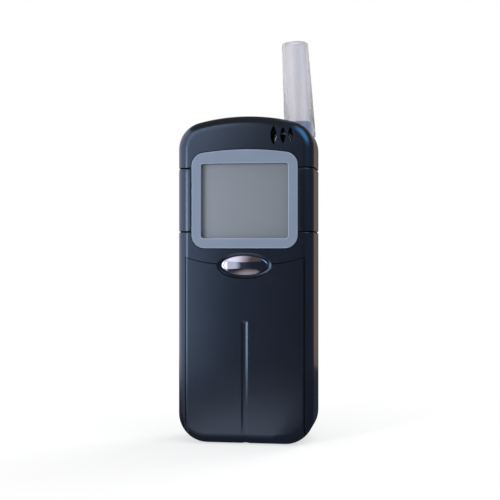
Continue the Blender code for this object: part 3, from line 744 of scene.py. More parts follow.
def display_finish():
    """The grey face of the switched-off liquid crystal, with a painted shadow along its left edge
    and painted shade that darkens it towards the right.
    """
    low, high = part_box("lcd_glass")
    roughness = 0.26
    material, tree, shader, where = new_finish(
        "display_grey", srgb(110, 117, 128), roughness, Specular_IOR_Level=1.0
    )
    place = add_node(tree, "ShaderNodeSeparateXYZ")
    across = add_node(tree, "ShaderNodeMapRange", From_Min=low.x, From_Max=high.x)
    tones = add_node(tree, "ShaderNodeValToRGB")
    # Painted shadow of the frame down the left edge, then painted shade darkening towards the
    # right.
    left_shadow_tone, middle, right_shade_tone = srgb(98, 106, 119), srgb(112, 120, 134), srgb(98, 105, 116)
    set_tones(tones, ((0.02, left_shadow_tone), (0.14, middle), (0.95, right_shade_tone)))
    tone = use_group(tree, DRIFT, where, Drift=0.025, Scale=90.0)
    link(
        tree,
        (where, "Object", place, "Vector"),
        (place, "X", across, "Value"),
        (across, "Result", tones, "Fac"),
        (tones, "Color", tone, "Colour"),
        (tone, "Colour", shader, "Base Color"),
    )
    add_sheen(tree, shader, where, roughness, 0.06)
    return material


def mesh_finish():
    """The fine dark wire mesh over the sensor's inlet."""
    colour = srgb(46, 46, 50)
    material, tree, shader, where = new_finish("sensor_mesh", colour, 0.42, metallic=0.7)
    wires = add_node(tree, "ShaderNodeTexVoronoi", feature="F1", distance="CHEBYCHEV")
    wires.inputs["Scale"].default_value = 3200.0
    wires.inputs["Randomness"].default_value = 0.0
    tone = add_node(tree, "ShaderNodeMapRange", From_Max=0.5, To_Min=1.3, To_Max=0.35)
    tint = add_node(tree, "ShaderNodeVectorMath", operation="SCALE")
    tint.inputs[0].default_value = colour[:3]
    link(
        tree,
        (where, "Object", wires, "Vector"),
        (wires, "Distance", tone, "Value"),
        (tone, "Result", tint, "Scale"),
        (tint, "Vector", shader, "Base Color"),
    )
    add_relief(tree, shader, wires, "Distance", 0.6, 0.00006)
    return material


def window_finish():
    """The clear pane: it is seen by its gloss alone."""
    colour, roughness = srgb(214, 222, 228), 0.06
    material, tree, shader, where = new_finish(
        "clear_pane", colour, roughness, Alpha=0.10, IOR=1.49
    )
    add_sheen(tree, shader, where, roughness, 0.05)
    tone = use_group(tree, DRIFT, where, Colour=colour, Drift=0.03)
    link(tree, (tone, "Colour", shader, "Base Color"))
    return material


def tube_finish():
    """Milky translucent moulding with faint flow lines along its length."""
    roughness = 0.22
    material, tree, shader, where = new_finish(
        "milky_tube", srgb(240, 239, 243), roughness, Transmission_Weight=0.84, IOR=1.36
    )
    stretch = add_node(
        tree, "ShaderNodeMapping", Scale=(420.0, 420.0, 14.0), Rotation=SEAT_TURN
    )
    lines = add_node(tree, "ShaderNodeTexNoise", Scale=1.0, Detail=3.0)
    tone = add_node(tree, "ShaderNodeValToRGB")
    set_tones(tone, ((0.30, srgb(228, 225, 230)), (0.72, srgb(245, 245, 249))))
    link(
        tree,
        (where, "Object", stretch, "Vector"),
        (stretch, "Vector", lines, "Vector"),
        (lines, "Fac", tone, "Fac"),
        (tone, "Color", shader, "Base Color"),
    )
    add_sheen(tree, shader, where, roughness, 0.08)
    add_relief(tree, shader, lines, "Fac", 0.15, 0.00003)
    return material


def board_finish():
    """Green solder mask with the copper tracks showing through it."""
    material, tree, shader, where = new_finish("solder_mask", srgb(26, 92, 58), 0.38)
    tracks = add_node(
        tree,
        "ShaderNodeTexBrick",
        Scale=220.0,
        Color1=srgb(24, 88, 54),
        Color2=srgb(30, 104, 64),
        Mortar=srgb(46, 126, 80),
        Mortar_Size=0.03,
    )
    turned = add_node(tree, "ShaderNodeMapping", Rotation=TO_FRONT)
    tone = use_group(tree, DRIFT, where, Drift=0.08)
    link(
        tree,
        (where, "Object", turned, "Vector"),
        (turned, "Vector", tracks, "Vector"),
        (tracks, "Color", tone, "Colour"),
        (tone, "Colour", shader, "Base Color"),
    )
    add_relief(tree, shader, tracks, "Fac", 0.3, 0.00004)
    return material


# Painted highlight: a paler, glossier paint on the display frame's small rounds.
PAINTED_RIM_HIGHLIGHT = surface(
    "painted_rim_highlight", srgb(172, 186, 208), 0.26, drift=0.07, spread=0.10, grain=3400.0, bump=0.08
)
# Painted highlight: a paler black on the rounds beside the panel's seams and the sound slots.
PAINTED_EDGE_HIGHLIGHT = surface("painted_edge_highlight", srgb(42, 49, 64), 0.30, drift=0.10, bump=0.2)
# Painted shade: a flat dark black on the faces down in the seams and pockets.
PAINTED_SEAM_SHADE = surface(
    "painted_seam_shade", srgb(10, 12, 17), 0.85, bump=0.3, Specular_IOR_Level=0.05
)
SENSOR_MESH = mesh_finish()
FINISHES = {
    "black_housing": satin_finish("satin_housing", 0.22, 0.26, 0.10),
    "black_panel": satin_finish("satin_panel", 0.215, 0.24, 0.14),
    "grey_bezel": surface(
        "blue_grey_paint",
        srgb(131, 145, 167),
        0.34,
        drift=0.05,
        grain=3400.0,
        bump=0.12,
        dust=0.05,
        Specular_IOR_Level=0.2,
    ),
    "clear_window": window_finish(),
    "lcd_grey": display_finish(),
    "chrome_plate": surface(
        "button_plating",
        srgb(172, 172, 182),
        0.045,
        drift=0.02,
        spread=0.03,
        grain=500.0,
        bump=0.02,
        metallic=1.0,
    ),
    "frosted_polymer": tube_finish(),
    "blue_black_polymer": surface("inlet_blue", srgb(84, 132, 204), 0.28, drift=0.10, bump=0.10),
    "bright_steel": surface("can_steel", srgb(200, 200, 202), 0.13, bump=0.10, metallic=1.0),
    "nickel_plate": surface(
        "screw_nickel", srgb(206, 202, 194), 0.24, spread=0.12, bump=0.08, metallic=1.0
    ),
    "green_board": board_finish(),
    "black_package": surface("chip_moulding", srgb(34, 34, 37), 0.52, bump=0.4),
    "white_polymer": surface("white_moulding", srgb(214, 214, 210), 0.48, bump=0.2),
    "dark_rubber": surface("seal_rubber", srgb(38, 38, 40), 0.78, bump=0.6, grain=1500.0),
    "cell_sleeve": surface("sleeve_film", srgb(44, 74, 118), 0.30, drift=0.06, grain=900.0),
}


def finish(item, slot, body, *nodes):
    """Gives a piece its material and body, and hides the nodes it stands for."""
    if not item.data.materials:
        item.data.materials.append(FINISHES[slot])
    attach(item, body)
    if nodes:
        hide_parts(*nodes)
    return item


def accent(item, material, test):
    """Gives the faces that pass the test a second finish."""
    item.data.materials.append(material)
    edit(item)
    select("faces", test)
    item.active_material_index = len(item.data.materials) - 1
    bpy.ops.object.material_slot_assign()
    leave()
    return item


# ---------------------------------------------------------------- shared cutters
def lens_plate(name, x, half_width, half_height, y_low, y_high):
    """A slot's outline: two equal arcs that meet in a point above and below."""
    radius = (half_width**2 + half_height**2) / (2 * half_width)
    spread = math.degrees(math.asin(half_height / radius))
    shift = radius - half_width
    moves = [
        ((x - shift, SLOT_Z), 2 * spread, 14),
        ((x + shift, SLOT_Z), 2 * spread, 14),
    ]
    return thicken(draw(name, (x, SLOT_Z - half_height), moves, y_low), y_high - y_low)


def oval_plate(name, half_width, half_height, y_low, y_high):
    """A plate in the button's outline."""
    oval = rod_y(name, 1.0, 0.0, 0.0, y_low, y_high, sides=72)
    oval.scale = (half_width, 1.0, half_height)
    oval.location = (0.0, 0.0, BUTTON_Z)
    return apply_place(oval)


def panel_plate(name, grow, y_low, y_high):
    """The lower panel's outline: shoulders that slope to a throat round the button's dish."""
    half_width = PANEL_HALF_WIDTH + grow
    top = PANEL_TOP + grow
    throat_z = THROAT_Z + grow
    item = point_at(name, half_width, y_low, -FAR)
    extrude(0.0, 0.0, top + FAR)
    past = (half_width, top)
    steps = 12
    for step in range(1, steps + 1):
        share = step / steps
        x = half_width + (THROAT_HALF_WIDTH - half_width) * share
        z = throat_z + (top - throat_z) * (1 - share) ** 1.6
        extrude(x - past[0], 0.0, z - past[1])
        past = (x, z)
    extrude(-past[0], 0.0, 0.0)
    leave()
    mirror = item.modifiers.new("Left half", "MIRROR")
    mirror.merge_threshold = MERGE
    apply_modifiers(item)
    edit(item)
    close_ends()
    bpy.ops.mesh.edge_face_add()
    leave()
    thicken(item, y_high - y_low)
    half_x, half_z = DISH_HALF_WIDTH - grow, DISH_HALF_HEIGHT - grow
    return cut(item, oval_plate("throat", half_x, half_z, y_low - FAR, y_high + FAR))


def side_pocket(sign, inner_x, low, high, sink):
    """A pocket in the body's side, between two heights, that follows its form."""
    sides = sorted((sign * inner_x, sign * (HALF_WIDTH + FAR)))
    pocket = block("side_pocket", sides, (-0.03, 0.03), (low, high))
    return cut(pocket, full_form("pocket_floor", sink))


def grip_pockets(sign, inner_x):
    """The pocket that a grip lies in, and the shallower seam beyond its two ends."""
    low, high, play = GRIP_BOTTOM - GRIP_SEAM, GRIP_TOP + GRIP_SEAM, 0.00004
    return (
        side_pocket(sign, inner_x, low, high, SEAM_SINK),
        side_pocket(sign, inner_x + 0.0001, GRIP_BOTTOM - play, GRIP_TOP + play, GRIP_SINK),
    )


def tube_seat():
    """The blow tube's pocket and the hole for its spigot's stem, which both halves share."""
    return (
        seat_rod("tube_pocket", TUBE_POCKET_RADIUS, 0.0, 0.02),
        seat_rod("stem_hole", STEM_HOLE_RADIUS, -0.004, 0.001),
    )


def seat_core():
    """The round wall that stands in the cavity under the blow tube."""
    return seat_rod("seat_core", SEAT_CORE_RADIUS, -0.0020, 0.02)


def below_skin(spot):
    """How deep a point of the body's sides or front lies under their surface."""
    ahead = spot.y < PARTING_Y
    size = FRONT_ROUND if ahead else BACK_ROUND
    across = abs(spot.x) - (HALF_WIDTH - size)
    along = FRONT_Y + size - spot.y if ahead else spot.y - (BACK_Y - size)
    if across > 0 and along > 0:
        return size - math.hypot(across, along)
    return size - max(across, along)


def upper_lip(level):
    """Tells which outer edges lie at a height, such as the lip under a side seam."""
    return lambda edge: all(
        abs(vert.co.z - level) < 0.000003 and abs(below_skin(vert.co)) < 0.00003
        for vert in edge.verts
    )


def within_grip_seams(spot):
    """Tells whether a point lies between the two cross seams or in them."""
    return min(spot.z - GRIP_BOTTOM, GRIP_TOP - spot.z) > -GRIP_SEAM - NEAR


def painted_shade_face(face):
    """A face down in a seam, beside the panel, round the display frame or beyond a grip, that takes
    painted shade.
    """
    spot = face.calc_center_median()
    if face.normal.y < -0.9 and spot.y > FRONT_Y + 0.0009 and spot.z < BELOW_SLOTS:
        return True
    wall = abs(abs(spot.x) - PANEL_HALF_WIDTH - PANEL_GAP) < 2 * NEAR
    if wall and abs(face.normal.x) > 0.9:
        return True
    if abs(spot.x) < BEZEL_HALF_WIDTH - 0.0006:
        return False
    return within_grip_seams(spot) and below_skin(spot) > 0.0002


def painted_shade_face_behind(face):
    """A face of the rear half's seams beyond the grips, that takes painted shade."""
    spot = face.calc_center_median()
    seam = within_grip_seams(spot) and abs(spot.x) > GRIP_BACK_X - 0.0005
    return seam and below_skin(spot) < GRIP_SINK + 0.0001


def painted_highlight_edge(face):
    """The small rounds that look left along the panel's seams and the sound slots: they take a
    painted highlight.
    """
    spot = face.calc_center_median()
    turned = face.normal.x < -0.3 and face.normal.y < -0.3
    beside = abs(abs(spot.x) - PANEL_HALF_WIDTH) < 0.00055 and spot.z < PANEL_TOP
    slot = 0.009 < spot.x < 0.018 and abs(spot.z - SLOT_Z) < 0.0035 and spot.y < FRONT_Y + 0.0003
    return turned and (beside or slot)


# ---------------------------------------------------------------- housings
def finish_shell(shell, node):
    """Breaks the shell's edges, those under its side seams first, and gives it its looks."""
    round_edges(shell, upper_lip(GRIP_BOTTOM - GRIP_SEAM), SEAM_LIP, 2)
    soften(shell, SHELL_EDGE)
    return finish(shade(shell), "black_housing", "tester", node)


def front_shell():
    """The front half with its pockets for panel, grips, display frame, button and tube."""
    shell = front_form("front_shell", 0.0, PARTING_Y - SEAM)
    cavity = front_form("cavity", WALL, PARTING_Y + 0.0015)
    cut(cavity, seat_core())
    cut(shell, cavity)
    seat = panel_plate("panel_seat", PANEL_GAP, FRONT_Y - FAR, 0.008)
    cut(seat, front_form("seat_floor", PANEL_SEAT_DEPTH, 0.012))
    cut(shell, seat)
    for sign in (-1, 1):
        cut(shell, *grip_pockets(sign, BEZEL_HALF_WIDTH - 0.0004))
    pocket = bezel_plan("bezel_pocket", BEZEL_GAP, FRONT_Y - FAR)
    cut(shell, thicken(pocket, BEZEL_BACK_Y + 0.0002 - FRONT_Y + FAR))
    window = rounded_box_outline(
        "window_hole",
        WINDOW_HALF_WIDTH + 0.00085,
        WINDOW_BOTTOM - 0.0009,
        WINDOW_TOP + 0.0009,
        0.0014,
        FRONT_Y - FAR,
    )
    cut(shell, thicken(window, 0.012))
    spread = 1 / math.sqrt(1 - 0.5**2)
    halves = (
        (DISH_HALF_WIDTH - 0.0003) * spread,
        0.0026,
        (DISH_HALF_HEIGHT - 0.0003) * spread,
    )
    cut(shell, ellipsoid("dish", (0.0, FRONT_Y - 0.0013, BUTTON_Z), halves, 96, 32))
    half_width, half_height = BUTTON_HALF_WIDTH + 0.0003, BUTTON_HALF_HEIGHT + 0.0003
    cut(shell, oval_plate("button_hole", half_width, half_height, FRONT_Y - FAR, -0.009))
    for x, half_width, half_height in SLOTS:
        cut(shell, lens_plate("sound_slot", x, half_width, half_height, FRONT_Y - FAR, -0.009))
    cut(shell, *tube_seat())
    finish_shell(tidy_mesh(shell), "front_housing")
    # Painted shade on the faces that lie deep in the seams and pockets.
    accent(shell, PAINTED_SEAM_SHADE, painted_shade_face)
    # Painted highlight on the rounds beside the panel and the slots that look left.
    return accent(shell, PAINTED_EDGE_HIGHLIGHT, painted_highlight_edge)


def rear_shell():
    """The rear half with its battery bay, screw holes and the pockets for grips, tube and door."""
    shell = body_block("rear_shell", 0.0, PARTING_Y + SEAM, BACK_Y, back_round=BACK_ROUND)
    cavity = body_block("cavity", WALL, -0.005, BACK_Y - WALL, back_round=BACK_ROUND - WALL)
    cut(
        cavity,
        seat_core(),
        block("door_flange", (-0.019, 0.019), (0.0106, 0.03), (0.005, 0.070)),
    )
    for x, z in HOUSING_SCREWS:
        cut(cavity, rod_y("boss", 0.0033, x, z, PARTING_Y + 0.0007, 0.03))
    cut(shell, cavity)
    join(shell, block("battery_tray", (-0.0165, 0.0165), (-0.0039, 0.0114), (0.0068, 0.0656)))
    cut(shell, block("battery_bay", (-0.0153, 0.0153), (-0.0029, 0.03), (0.0080, 0.0644)))
    recess = rounded_box_outline("door_recess", 0.01725, 0.00735, 0.0662, 0.0027, 0.0122)
    cut(shell, thicken(recess, 0.01))
    for x in (-DOOR_TAB_X, DOOR_TAB_X):
        cut(shell, block("tab_slot", (x - 0.0024, x + 0.0024), (0.0095, 0.01225), (0.0640, 0.0694)))
    for x, z in HOUSING_SCREWS:
        cut(shell, rod_y("screw_hole", 0.0013, x, z, -0.005, 0.02, 24))
        cut(shell, rod_y("counterbore", 0.0024, x, z, 0.0106, 0.03, 40))
    for sign in (-1, 1):
        cut(shell, *grip_pockets(sign, GRIP_BACK_X - 0.0004))
    cut(shell, *tube_seat())
    tidy_mesh(shell)
    divide(shell, "Z", 0.0745, GRIP_BOTTOM + 0.0005, 0.088, GRIP_TOP - 0.0005, 0.1016)
    divide(shell, "X", -0.0166, 0.0166)
    finish_shell(shell, "rear_housing")
    # Painted shade on the rear half's seams beyond the grips.
    return accent(shell, PAINTED_SEAM_SHADE, painted_shade_face_behind)


def front_panel():
    """The lower cover with its shallow groove, which runs down over the foot, and four clips."""
    panel = panel_plate("front_cover", 0.0, FRONT_Y - FAR, PARTING_Y - 0.0005)
    trim(panel, front_form("cover_skin", 0.0, 0.012))
    cut(panel, front_form("cover_inside", PANEL_THICKNESS, 0.012))
    groove = rounded_box_outline(
        "groove", GROOVE_HALF_WIDTH, -FAR, GROOVE_TOP, 0.0003, FRONT_Y - FAR, 4
    )
    thicken(groove, 0.03)
    cut(groove, front_form("groove_floor", GROOVE_DEPTH, 0.03))
    cut(panel, groove)
    tidy_mesh(panel)
    slope_groove(panel)
    depth = (FRONT_Y + 0.0008, -0.0098)
    for x, z in ((-0.0165, 0.058), (0.0165, 0.058), (-0.0165, 0.018), (0.0165, 0.018)):
        join(panel, block("clip", (x - 0.0005, x + 0.0005), depth, (z - 0.0015, z + 0.0015)))
    tidy_mesh(panel)
    soften(panel, PANEL_EDGE, angle=26.0)
    finish(shade(panel, crisp=groove_edge), "black_panel", "tester", "front_panel")
    # Painted highlight on the panel's rounds that look left along its sides.
    return accent(panel, PAINTED_EDGE_HIGHLIGHT, painted_highlight_edge)


def groove_edge(edge):
    """One of the edges along the groove's walls, or across its top end."""
    ends = [vert.co for vert in edge.verts]
    side, top = GROOVE_HALF_WIDTH + 2 * NEAR, GROOVE_TOP + 2 * NEAR
    inside = all(abs(end.x) < side and end.z < top for end in ends)
    across = abs(ends[0].x - ends[1].x) > 0.5 * edge.calc_length()
    below_end = across and ends[0].z < GROOVE_TOP - 0.0007
    return inside and edge.calc_face_angle(0.0) > math.radians(8) and not below_end


def slope_groove(panel):
    """Draws the groove's floor in, so that its two walls and its top end slope."""
    centre = Vector((0.0, FRONT_Y + FRONT_ROUND, FRONT_ROUND))
    floor_radius = FRONT_ROUND - GROOVE_DEPTH

    def floor(vert):
        spot = vert.co
        if abs(spot.x) > GROOVE_HALF_WIDTH + NEAR or spot.z > GROOVE_TOP + NEAR:
            return False
        if spot.z >= centre.z:
            return abs(spot.y - FRONT_Y - GROOVE_DEPTH) < 2 * NEAR
        if spot.y >= centre.y:
            return abs(spot.z - GROOVE_DEPTH) < 2 * NEAR
        reach = math.hypot(spot.y - centre.y, spot.z - centre.z)
        return abs(reach - floor_radius) < 4 * NEAR

    def in_groove(face):
        return all(abs(vert.co.x) < GROOVE_HALF_WIDTH + NEAR for vert in face.verts)

    edit(panel)
    select("verts", floor)
    bpy.ops.transform.resize(value=(GROOVE_FLOOR, 1.0, 1.0), center_override=ZERO)
    select("verts", lambda vert: floor(vert) and vert.co.z > GROOVE_TOP - 0.0005)
    bpy.ops.transform.translate(value=(0.0, 0.0, -0.0006))
    select("faces", in_groove)
    bpy.ops.mesh.quads_convert_to_tris(quad_method="BEAUTY", ngon_method="BEAUTY")
    leave()


def side_grip(name, node, sign):
    """The inlay beside the display, between the two cross seams."""
    sides = sorted((sign * GRIP_BACK_X, sign * (HALF_WIDTH + FAR)))
    grip = block(name, sides, (-0.03, 0.03), (GRIP_BOTTOM, GRIP_TOP))
    inner = sorted((sign * 0.0145, sign * GRIP_FRONT_X))
    cut(grip, block("grip_trim", inner, (-0.04, 0.003), (0.07, 0.11)))
    trim(grip, full_form("grip_skin", 0.0))
    cut(grip, full_form("grip_inside", GRIP_THICKNESS))
    tidy_mesh(grip)
    round_edges(grip, upper_lip(GRIP_TOP), SEAM_LIP, 2)
    soften(grip, SHELL_EDGE)
    apply_modifiers(grip)
    divide(grip, "Z", GRIP_BOTTOM + 0.0008, GRIP_TOP - 0.0012)
    return finish(shade(grip), "black_housing", "tester", node)


# ---------------------------------------------------------------- display frame and button
def display_frame():
    """The raised frame with its arched top, and a fine round along its rim and its window."""
    ring = bezel_plan("display_frame", 0.00017, BEZEL_FRONT_Y, fine=2)
    thicken(ring, BEZEL_BACK_Y - BEZEL_FRONT_Y)
    round_edges(ring, lies_at(BEZEL_FRONT_Y), 0.00035, 5)
    hole = rounded_box_outline(
        "window", WINDOW_HALF_WIDTH, WINDOW_BOTTOM, WINDOW_TOP, 0.0010, BEZEL_FRONT_Y - FAR, 8
    )
    cut(ring, thicken(hole, 0.02))
    tidy_mesh(ring)

    def opening(edge):
        return lies_at(BEZEL_FRONT_Y)(edge) and all(
            abs(vert.co.x) < WINDOW_HALF_WIDTH + NEAR
            and WINDOW_BOTTOM - NEAR < vert.co.z < WINDOW_TOP + NEAR
            for vert in edge.verts
        )

    round_edges(ring, opening, 0.00022, 3)
    finish(shade(ring), "grey_bezel", "tester", "lcd_bezel")
    # Painted highlight: a paler paint on the frame's rounds along its rim and its window.
    return accent(ring, PAINTED_RIM_HIGHLIGHT, lambda face: 0.25 < -face.normal.y < 0.97)


def power_key():
    """An oval plated key: a thin rolled rim, then a low dome."""
    crest = BUTTON_HALF_HEIGHT
    rim_y, foot_y, flange_y, stem_y = 0.00022, -0.00205, -0.00265, -0.0035
    dome_y, dome_steps = 0.0009, 12
    dome = [(0.0, dome_y)]
    for step in range(1, dome_steps + 1):
        share = step / dome_steps
        dome.append((share * (crest - 0.00032), dome_y - 0.00064 * share**1.7))
    profile = dome + [
        (crest - 0.00018, rim_y + 0.00002),
        (crest - 0.00006, rim_y - 0.00010),
        (crest, rim_y - 0.0003),
        (crest, foot_y),
        (crest + 0.0010, foot_y),
        (crest + 0.0010, flange_y),
        (0.0007, flange_y),
        (0.0007, stem_y),
        (0.0, stem_y),
    ]
    key = turn_profile("plated_key", profile, (0.0, -0.0131, BUTTON_Z), TO_FRONT, steps=96)
    key.scale = (BUTTON_HALF_WIDTH / BUTTON_HALF_HEIGHT, 1.0, 1.0)
    smooth(apply_place(key), 40)
    return finish(key, "chrome_plate", "power_button", "power_button")


# ---------------------------------------------------------------- breath path
def blow_tube():
    """The hollow tapered tube with its foot flange and its rolled lip."""
    top = MOUTHPIECE_LENGTH - 0.00001
    lip = [(0.00382, top - 0.0003), (0.00385, top - 0.00012), (0.00393, top - 0.00003)]
    lip += arc_points(0.0039, top - 0.0010, 0.0010, 84, 0, 8)
    outer = [(0.00575, 0.00330)]
    foot = arc_points(0.00568, 0.00175, 0.00022, 60, -60, 4)
    foot += [(0.00580, 0.00110), (0.00565, 0.0003)]
    socket_end = SPIGOT_HEIGHT + 0.0006
    inner = [
        (SPIGOT_RADIUS + 0.0004, 0.0003),
        (SPIGOT_RADIUS + 0.0003, socket_end),
        (SPIGOT_RADIUS - 0.0002, socket_end + 0.0006),
    ]
    profile = lip + outer + foot + inner
    tube = turn_profile("blow_tube", profile, SEAT, SEAT_TURN, closed=True, steps=96)
    return finish(smooth(tube, 50), "frosted_polymer", "mouthpiece", "mouthpiece")


def inlet_spigot():
    """The spigot that the blow tube sits on, with the stem that leads into the case."""
    bore, stem, collar = 0.0011, 0.00175, 0.0028
    profile = [
        (bore, SPIGOT_HEIGHT),
        (SPIGOT_RADIUS - 0.0005, SPIGOT_HEIGHT),
        (SPIGOT_RADIUS - 0.0002, SPIGOT_HEIGHT - 0.00012),
        (SPIGOT_RADIUS, SPIGOT_HEIGHT - 0.0005),
        (SPIGOT_RADIUS, 0.0003),
        (0.0024, 0.0003),
        (0.0024, -0.0023),
        (collar, -0.0023),
        (collar, -0.0034),
        (stem, -0.0034),
        (stem, -0.0060),
        (bore, -0.0060),
    ]
    spigot = turn_profile("inlet_spigot", profile, SEAT, SEAT_TURN, closed=True)
    return finish(smooth(spigot, 40), "blue_black_polymer", "tester", "breath_inlet")


def sensor_can():
    """The sensor's steel can: a rolled foot, a stepped crown and a sunk disc of fine mesh."""
    rim = 0.0041
    side = rim * 0.94
    profile = [(0.0, 0.0031), (0.00205, 0.0031)]
    profile += arc_points(0.0027, 0.0033, 0.0006, 170, 10, 10)
    profile += [(0.0034, 0.0033)] + arc_points(side - 0.0004, 0.0029, 0.0004, 90, 0, 4)
    profile += [(side, 0.0009), (rim, 0.0008), (rim, 0.0), (0.0, 0.0)]
    can = turn_profile("sensor_can", profile, SENSOR, TO_FRONT)
    finish(smooth(can, 35), "bright_steel", "tester", "alcohol_sensor")
    return accent(can, SENSOR_MESH, lambda face: face.normal.y < -0.995)


# ---------------------------------------------------------------- back
def battery_lid():
    """The battery door with its thumb dish, ridges, two tabs above and a latch below."""
    front, back, rows = 0.0125, BACK_Y, 5
    lid = rounded_box_outline("battery_lid", 0.0170, 0.0076, 0.06595, 0.00245, front, 8)
    thicken(lid, back - front)
    round_edges(lid, lies_at(back), 0.0003, 3)
    middle, halves = (0.0, back + 0.0002, 0.0182), (0.0092, 0.0011, 0.0078)
    cut(lid, ellipsoid("thumb_dish", middle, halves, 64, 24))
    for row in range(rows):
        z = 0.0138 + 0.0022 * row
        half = 0.0064 - 0.0007 * abs(row - 2) - 0.0004 * row
        ridge = rod_y("ridge", 0.00045, 0.0, 0.0, -half, half, 16)
        ridge.rotation_euler = (0.0, 0.0, math.radians(90))
        ridge.location = (0.0, back - 0.00062, z)
        join(lid, apply_place(ridge))
    for x in (-DOOR_TAB_X, DOOR_TAB_X):
        join(
            lid,
            block("tab", (x - 0.002, x + 0.002), (0.0109, 0.0119), (0.0648, 0.0684)),
            block("neck", (x - 0.0018, x + 0.0018), (0.0112, 0.0130), (0.0645, 0.0655)),
        )
    join(lid, block("latch", (-0.004, 0.004), (0.0102, 0.0130), (0.0083, 0.0092)))
    tidy_mesh(lid)
    return finish(shade(lid, 30.0), "black_housing", "battery_door", "battery_door")


def housing_screws():
    """One screw is modelled with its cross recess, and the others are copies of it."""
    seat_y, shank, tip = 0.0107, 0.00105, -0.0175
    profile = [
        (0.0, 0.0013),
        (0.0012, 0.00128),
        (0.0016, 0.00112),
        (0.0019, 0.0008),
        (0.0020, 0.0004),
        (0.0020, 0.0),
        (shank, 0.0),
        (shank, tip + 0.0010),
        (0.0006, tip),
        (0.0, tip),
    ]
    first = turn_profile("housing_screw", profile, ZERO, TO_BACK, steps=32)
    length, width, depth = (-0.0012, 0.0012), (-0.00025, 0.00025), (0.0006, 0.002)
    cut(first, block("slot_across", length, depth, width))
    cut(first, block("slot_along", width, depth, length))
    shade(first)
    for index, (x, z) in enumerate(HOUSING_SCREWS):
        screw = first.copy()
        screw.data = first.data.copy()
        screw.name = f"case_screw_{index + 1}"
        bpy.context.scene.collection.objects.link(screw)
        screw.location = (x, seat_y, z)
        apply_place(screw)
        finish(screw, "nickel_plate", "tester", f"housing_screw_{index + 1}")
    bpy.data.objects.remove(first, do_unlink=True)


def power_cells():
    """Steel can with a shrunk sleeve that turns over both ends, and the raised positive nub."""
    radius = 0.00725
    top = CELL_LENGTH - 0.0013
    profile = [(0.0, CELL_LENGTH), (0.0022, CELL_LENGTH)]
    profile += arc_points(0.0022, CELL_LENGTH - 0.0004, 0.0004, 90, 0, 4)
    profile += [(0.0026, top), (0.0056, top), (0.0057, top + 0.00012), (0.0066, top + 0.0001)]
    profile += arc_points(radius - 0.0006, top - 0.0006, 0.0006, 80, 0, 5)
    profile += arc_points(radius - 0.0006, 0.0006, 0.0006, 0, -80, 5)
    profile += [(0.0060, 0.0), (0.0059, 0.00015), (0.0, 0.00015)]
    for name, x, foot, nub_up in CELLS:
        turn = ZERO if nub_up else (math.radians(180), 0.0, 0.0)
        place = (x, CELL_Y, foot if nub_up else foot + CELL_LENGTH)
        cell = turn_profile(f"sleeved_{name}", profile, place, turn)

        def bare_end(face, x=x):
            spot = face.calc_center_median()
            return math.hypot(spot.x - x, spot.y - CELL_Y) < 0.0057

        finish(smooth(cell, 40), "cell_sleeve", "tester", name)
        accent(cell, FINISHES["bright_steel"], bare_end)


def contact_spring(name, node, x, wide_z, narrow_z):
    """A conical spring: its wide turn sits on the contact plate, its narrow one on the cell."""
    turns, per_turn = 3, 40
    wide, narrow = 0.0050, 0.0028
    curve = bpy.data.curves.new(name, "CURVE")
    curve.dimensions = "3D"
    curve.bevel_depth = 0.0003
    curve.bevel_resolution = 3
    curve.use_fill_caps = True
    wire = curve.splines.new("POLY")
    wire.points.add(turns * per_turn)
    for step, point in enumerate(wire.points):
        share = step / (turns * per_turn)
        radius = wide + (narrow - wide) * share
        angle = 2 * math.pi * turns * share
        point.co = (
            x + radius * math.cos(angle),
            CELL_Y + radius * math.sin(angle),
            wide_z + (narrow_z - wide_z) * share,
            1.0,
        )
    return finish(linked(name, curve), "nickel_plate", "tester", node)


# ---------------------------------------------------------------- stage
FILL_LEVEL = 0.34
WHITE = (1.0, 1.0, 1.0, 1.0)


def world_light():
    """White to the eye and in reflections, and a plain pale fill on the object."""
    world = bpy.data.worlds.new("pale_studio")
    bpy.context.scene.world = world
    world.use_nodes = True
    tree = world.node_tree
    tree.nodes.clear()
    path = add_node(tree, "ShaderNodeLightPath")
    seen = add_node(tree, "ShaderNodeMath", operation="MAXIMUM")
    mirrored = add_node(tree, "ShaderNodeMath", operation="MAXIMUM")
    pale = (0.97, 0.985, 1.0, 1.0)
    fill = add_node(tree, "ShaderNodeBackground", Color=pale, Strength=FILL_LEVEL)
    white = add_node(tree, "ShaderNodeBackground", Color=WHITE, Strength=1.0)
    mix = add_node(tree, "ShaderNodeMixShader")
    out = add_node(tree, "ShaderNodeOutputWorld")
    link(
        tree,
        (path, "Is Camera Ray", seen, 0),
        (path, "Is Glossy Ray", seen, 1),
        (seen, 0, mirrored, 0),
        (path, "Is Transmission Ray", mirrored, 1),
        (mirrored, 0, mix, "Fac"),
        (fill, 0, mix, 1),
        (white, 0, mix, 2),
        (mix, 0, out, "Surface"),
    )


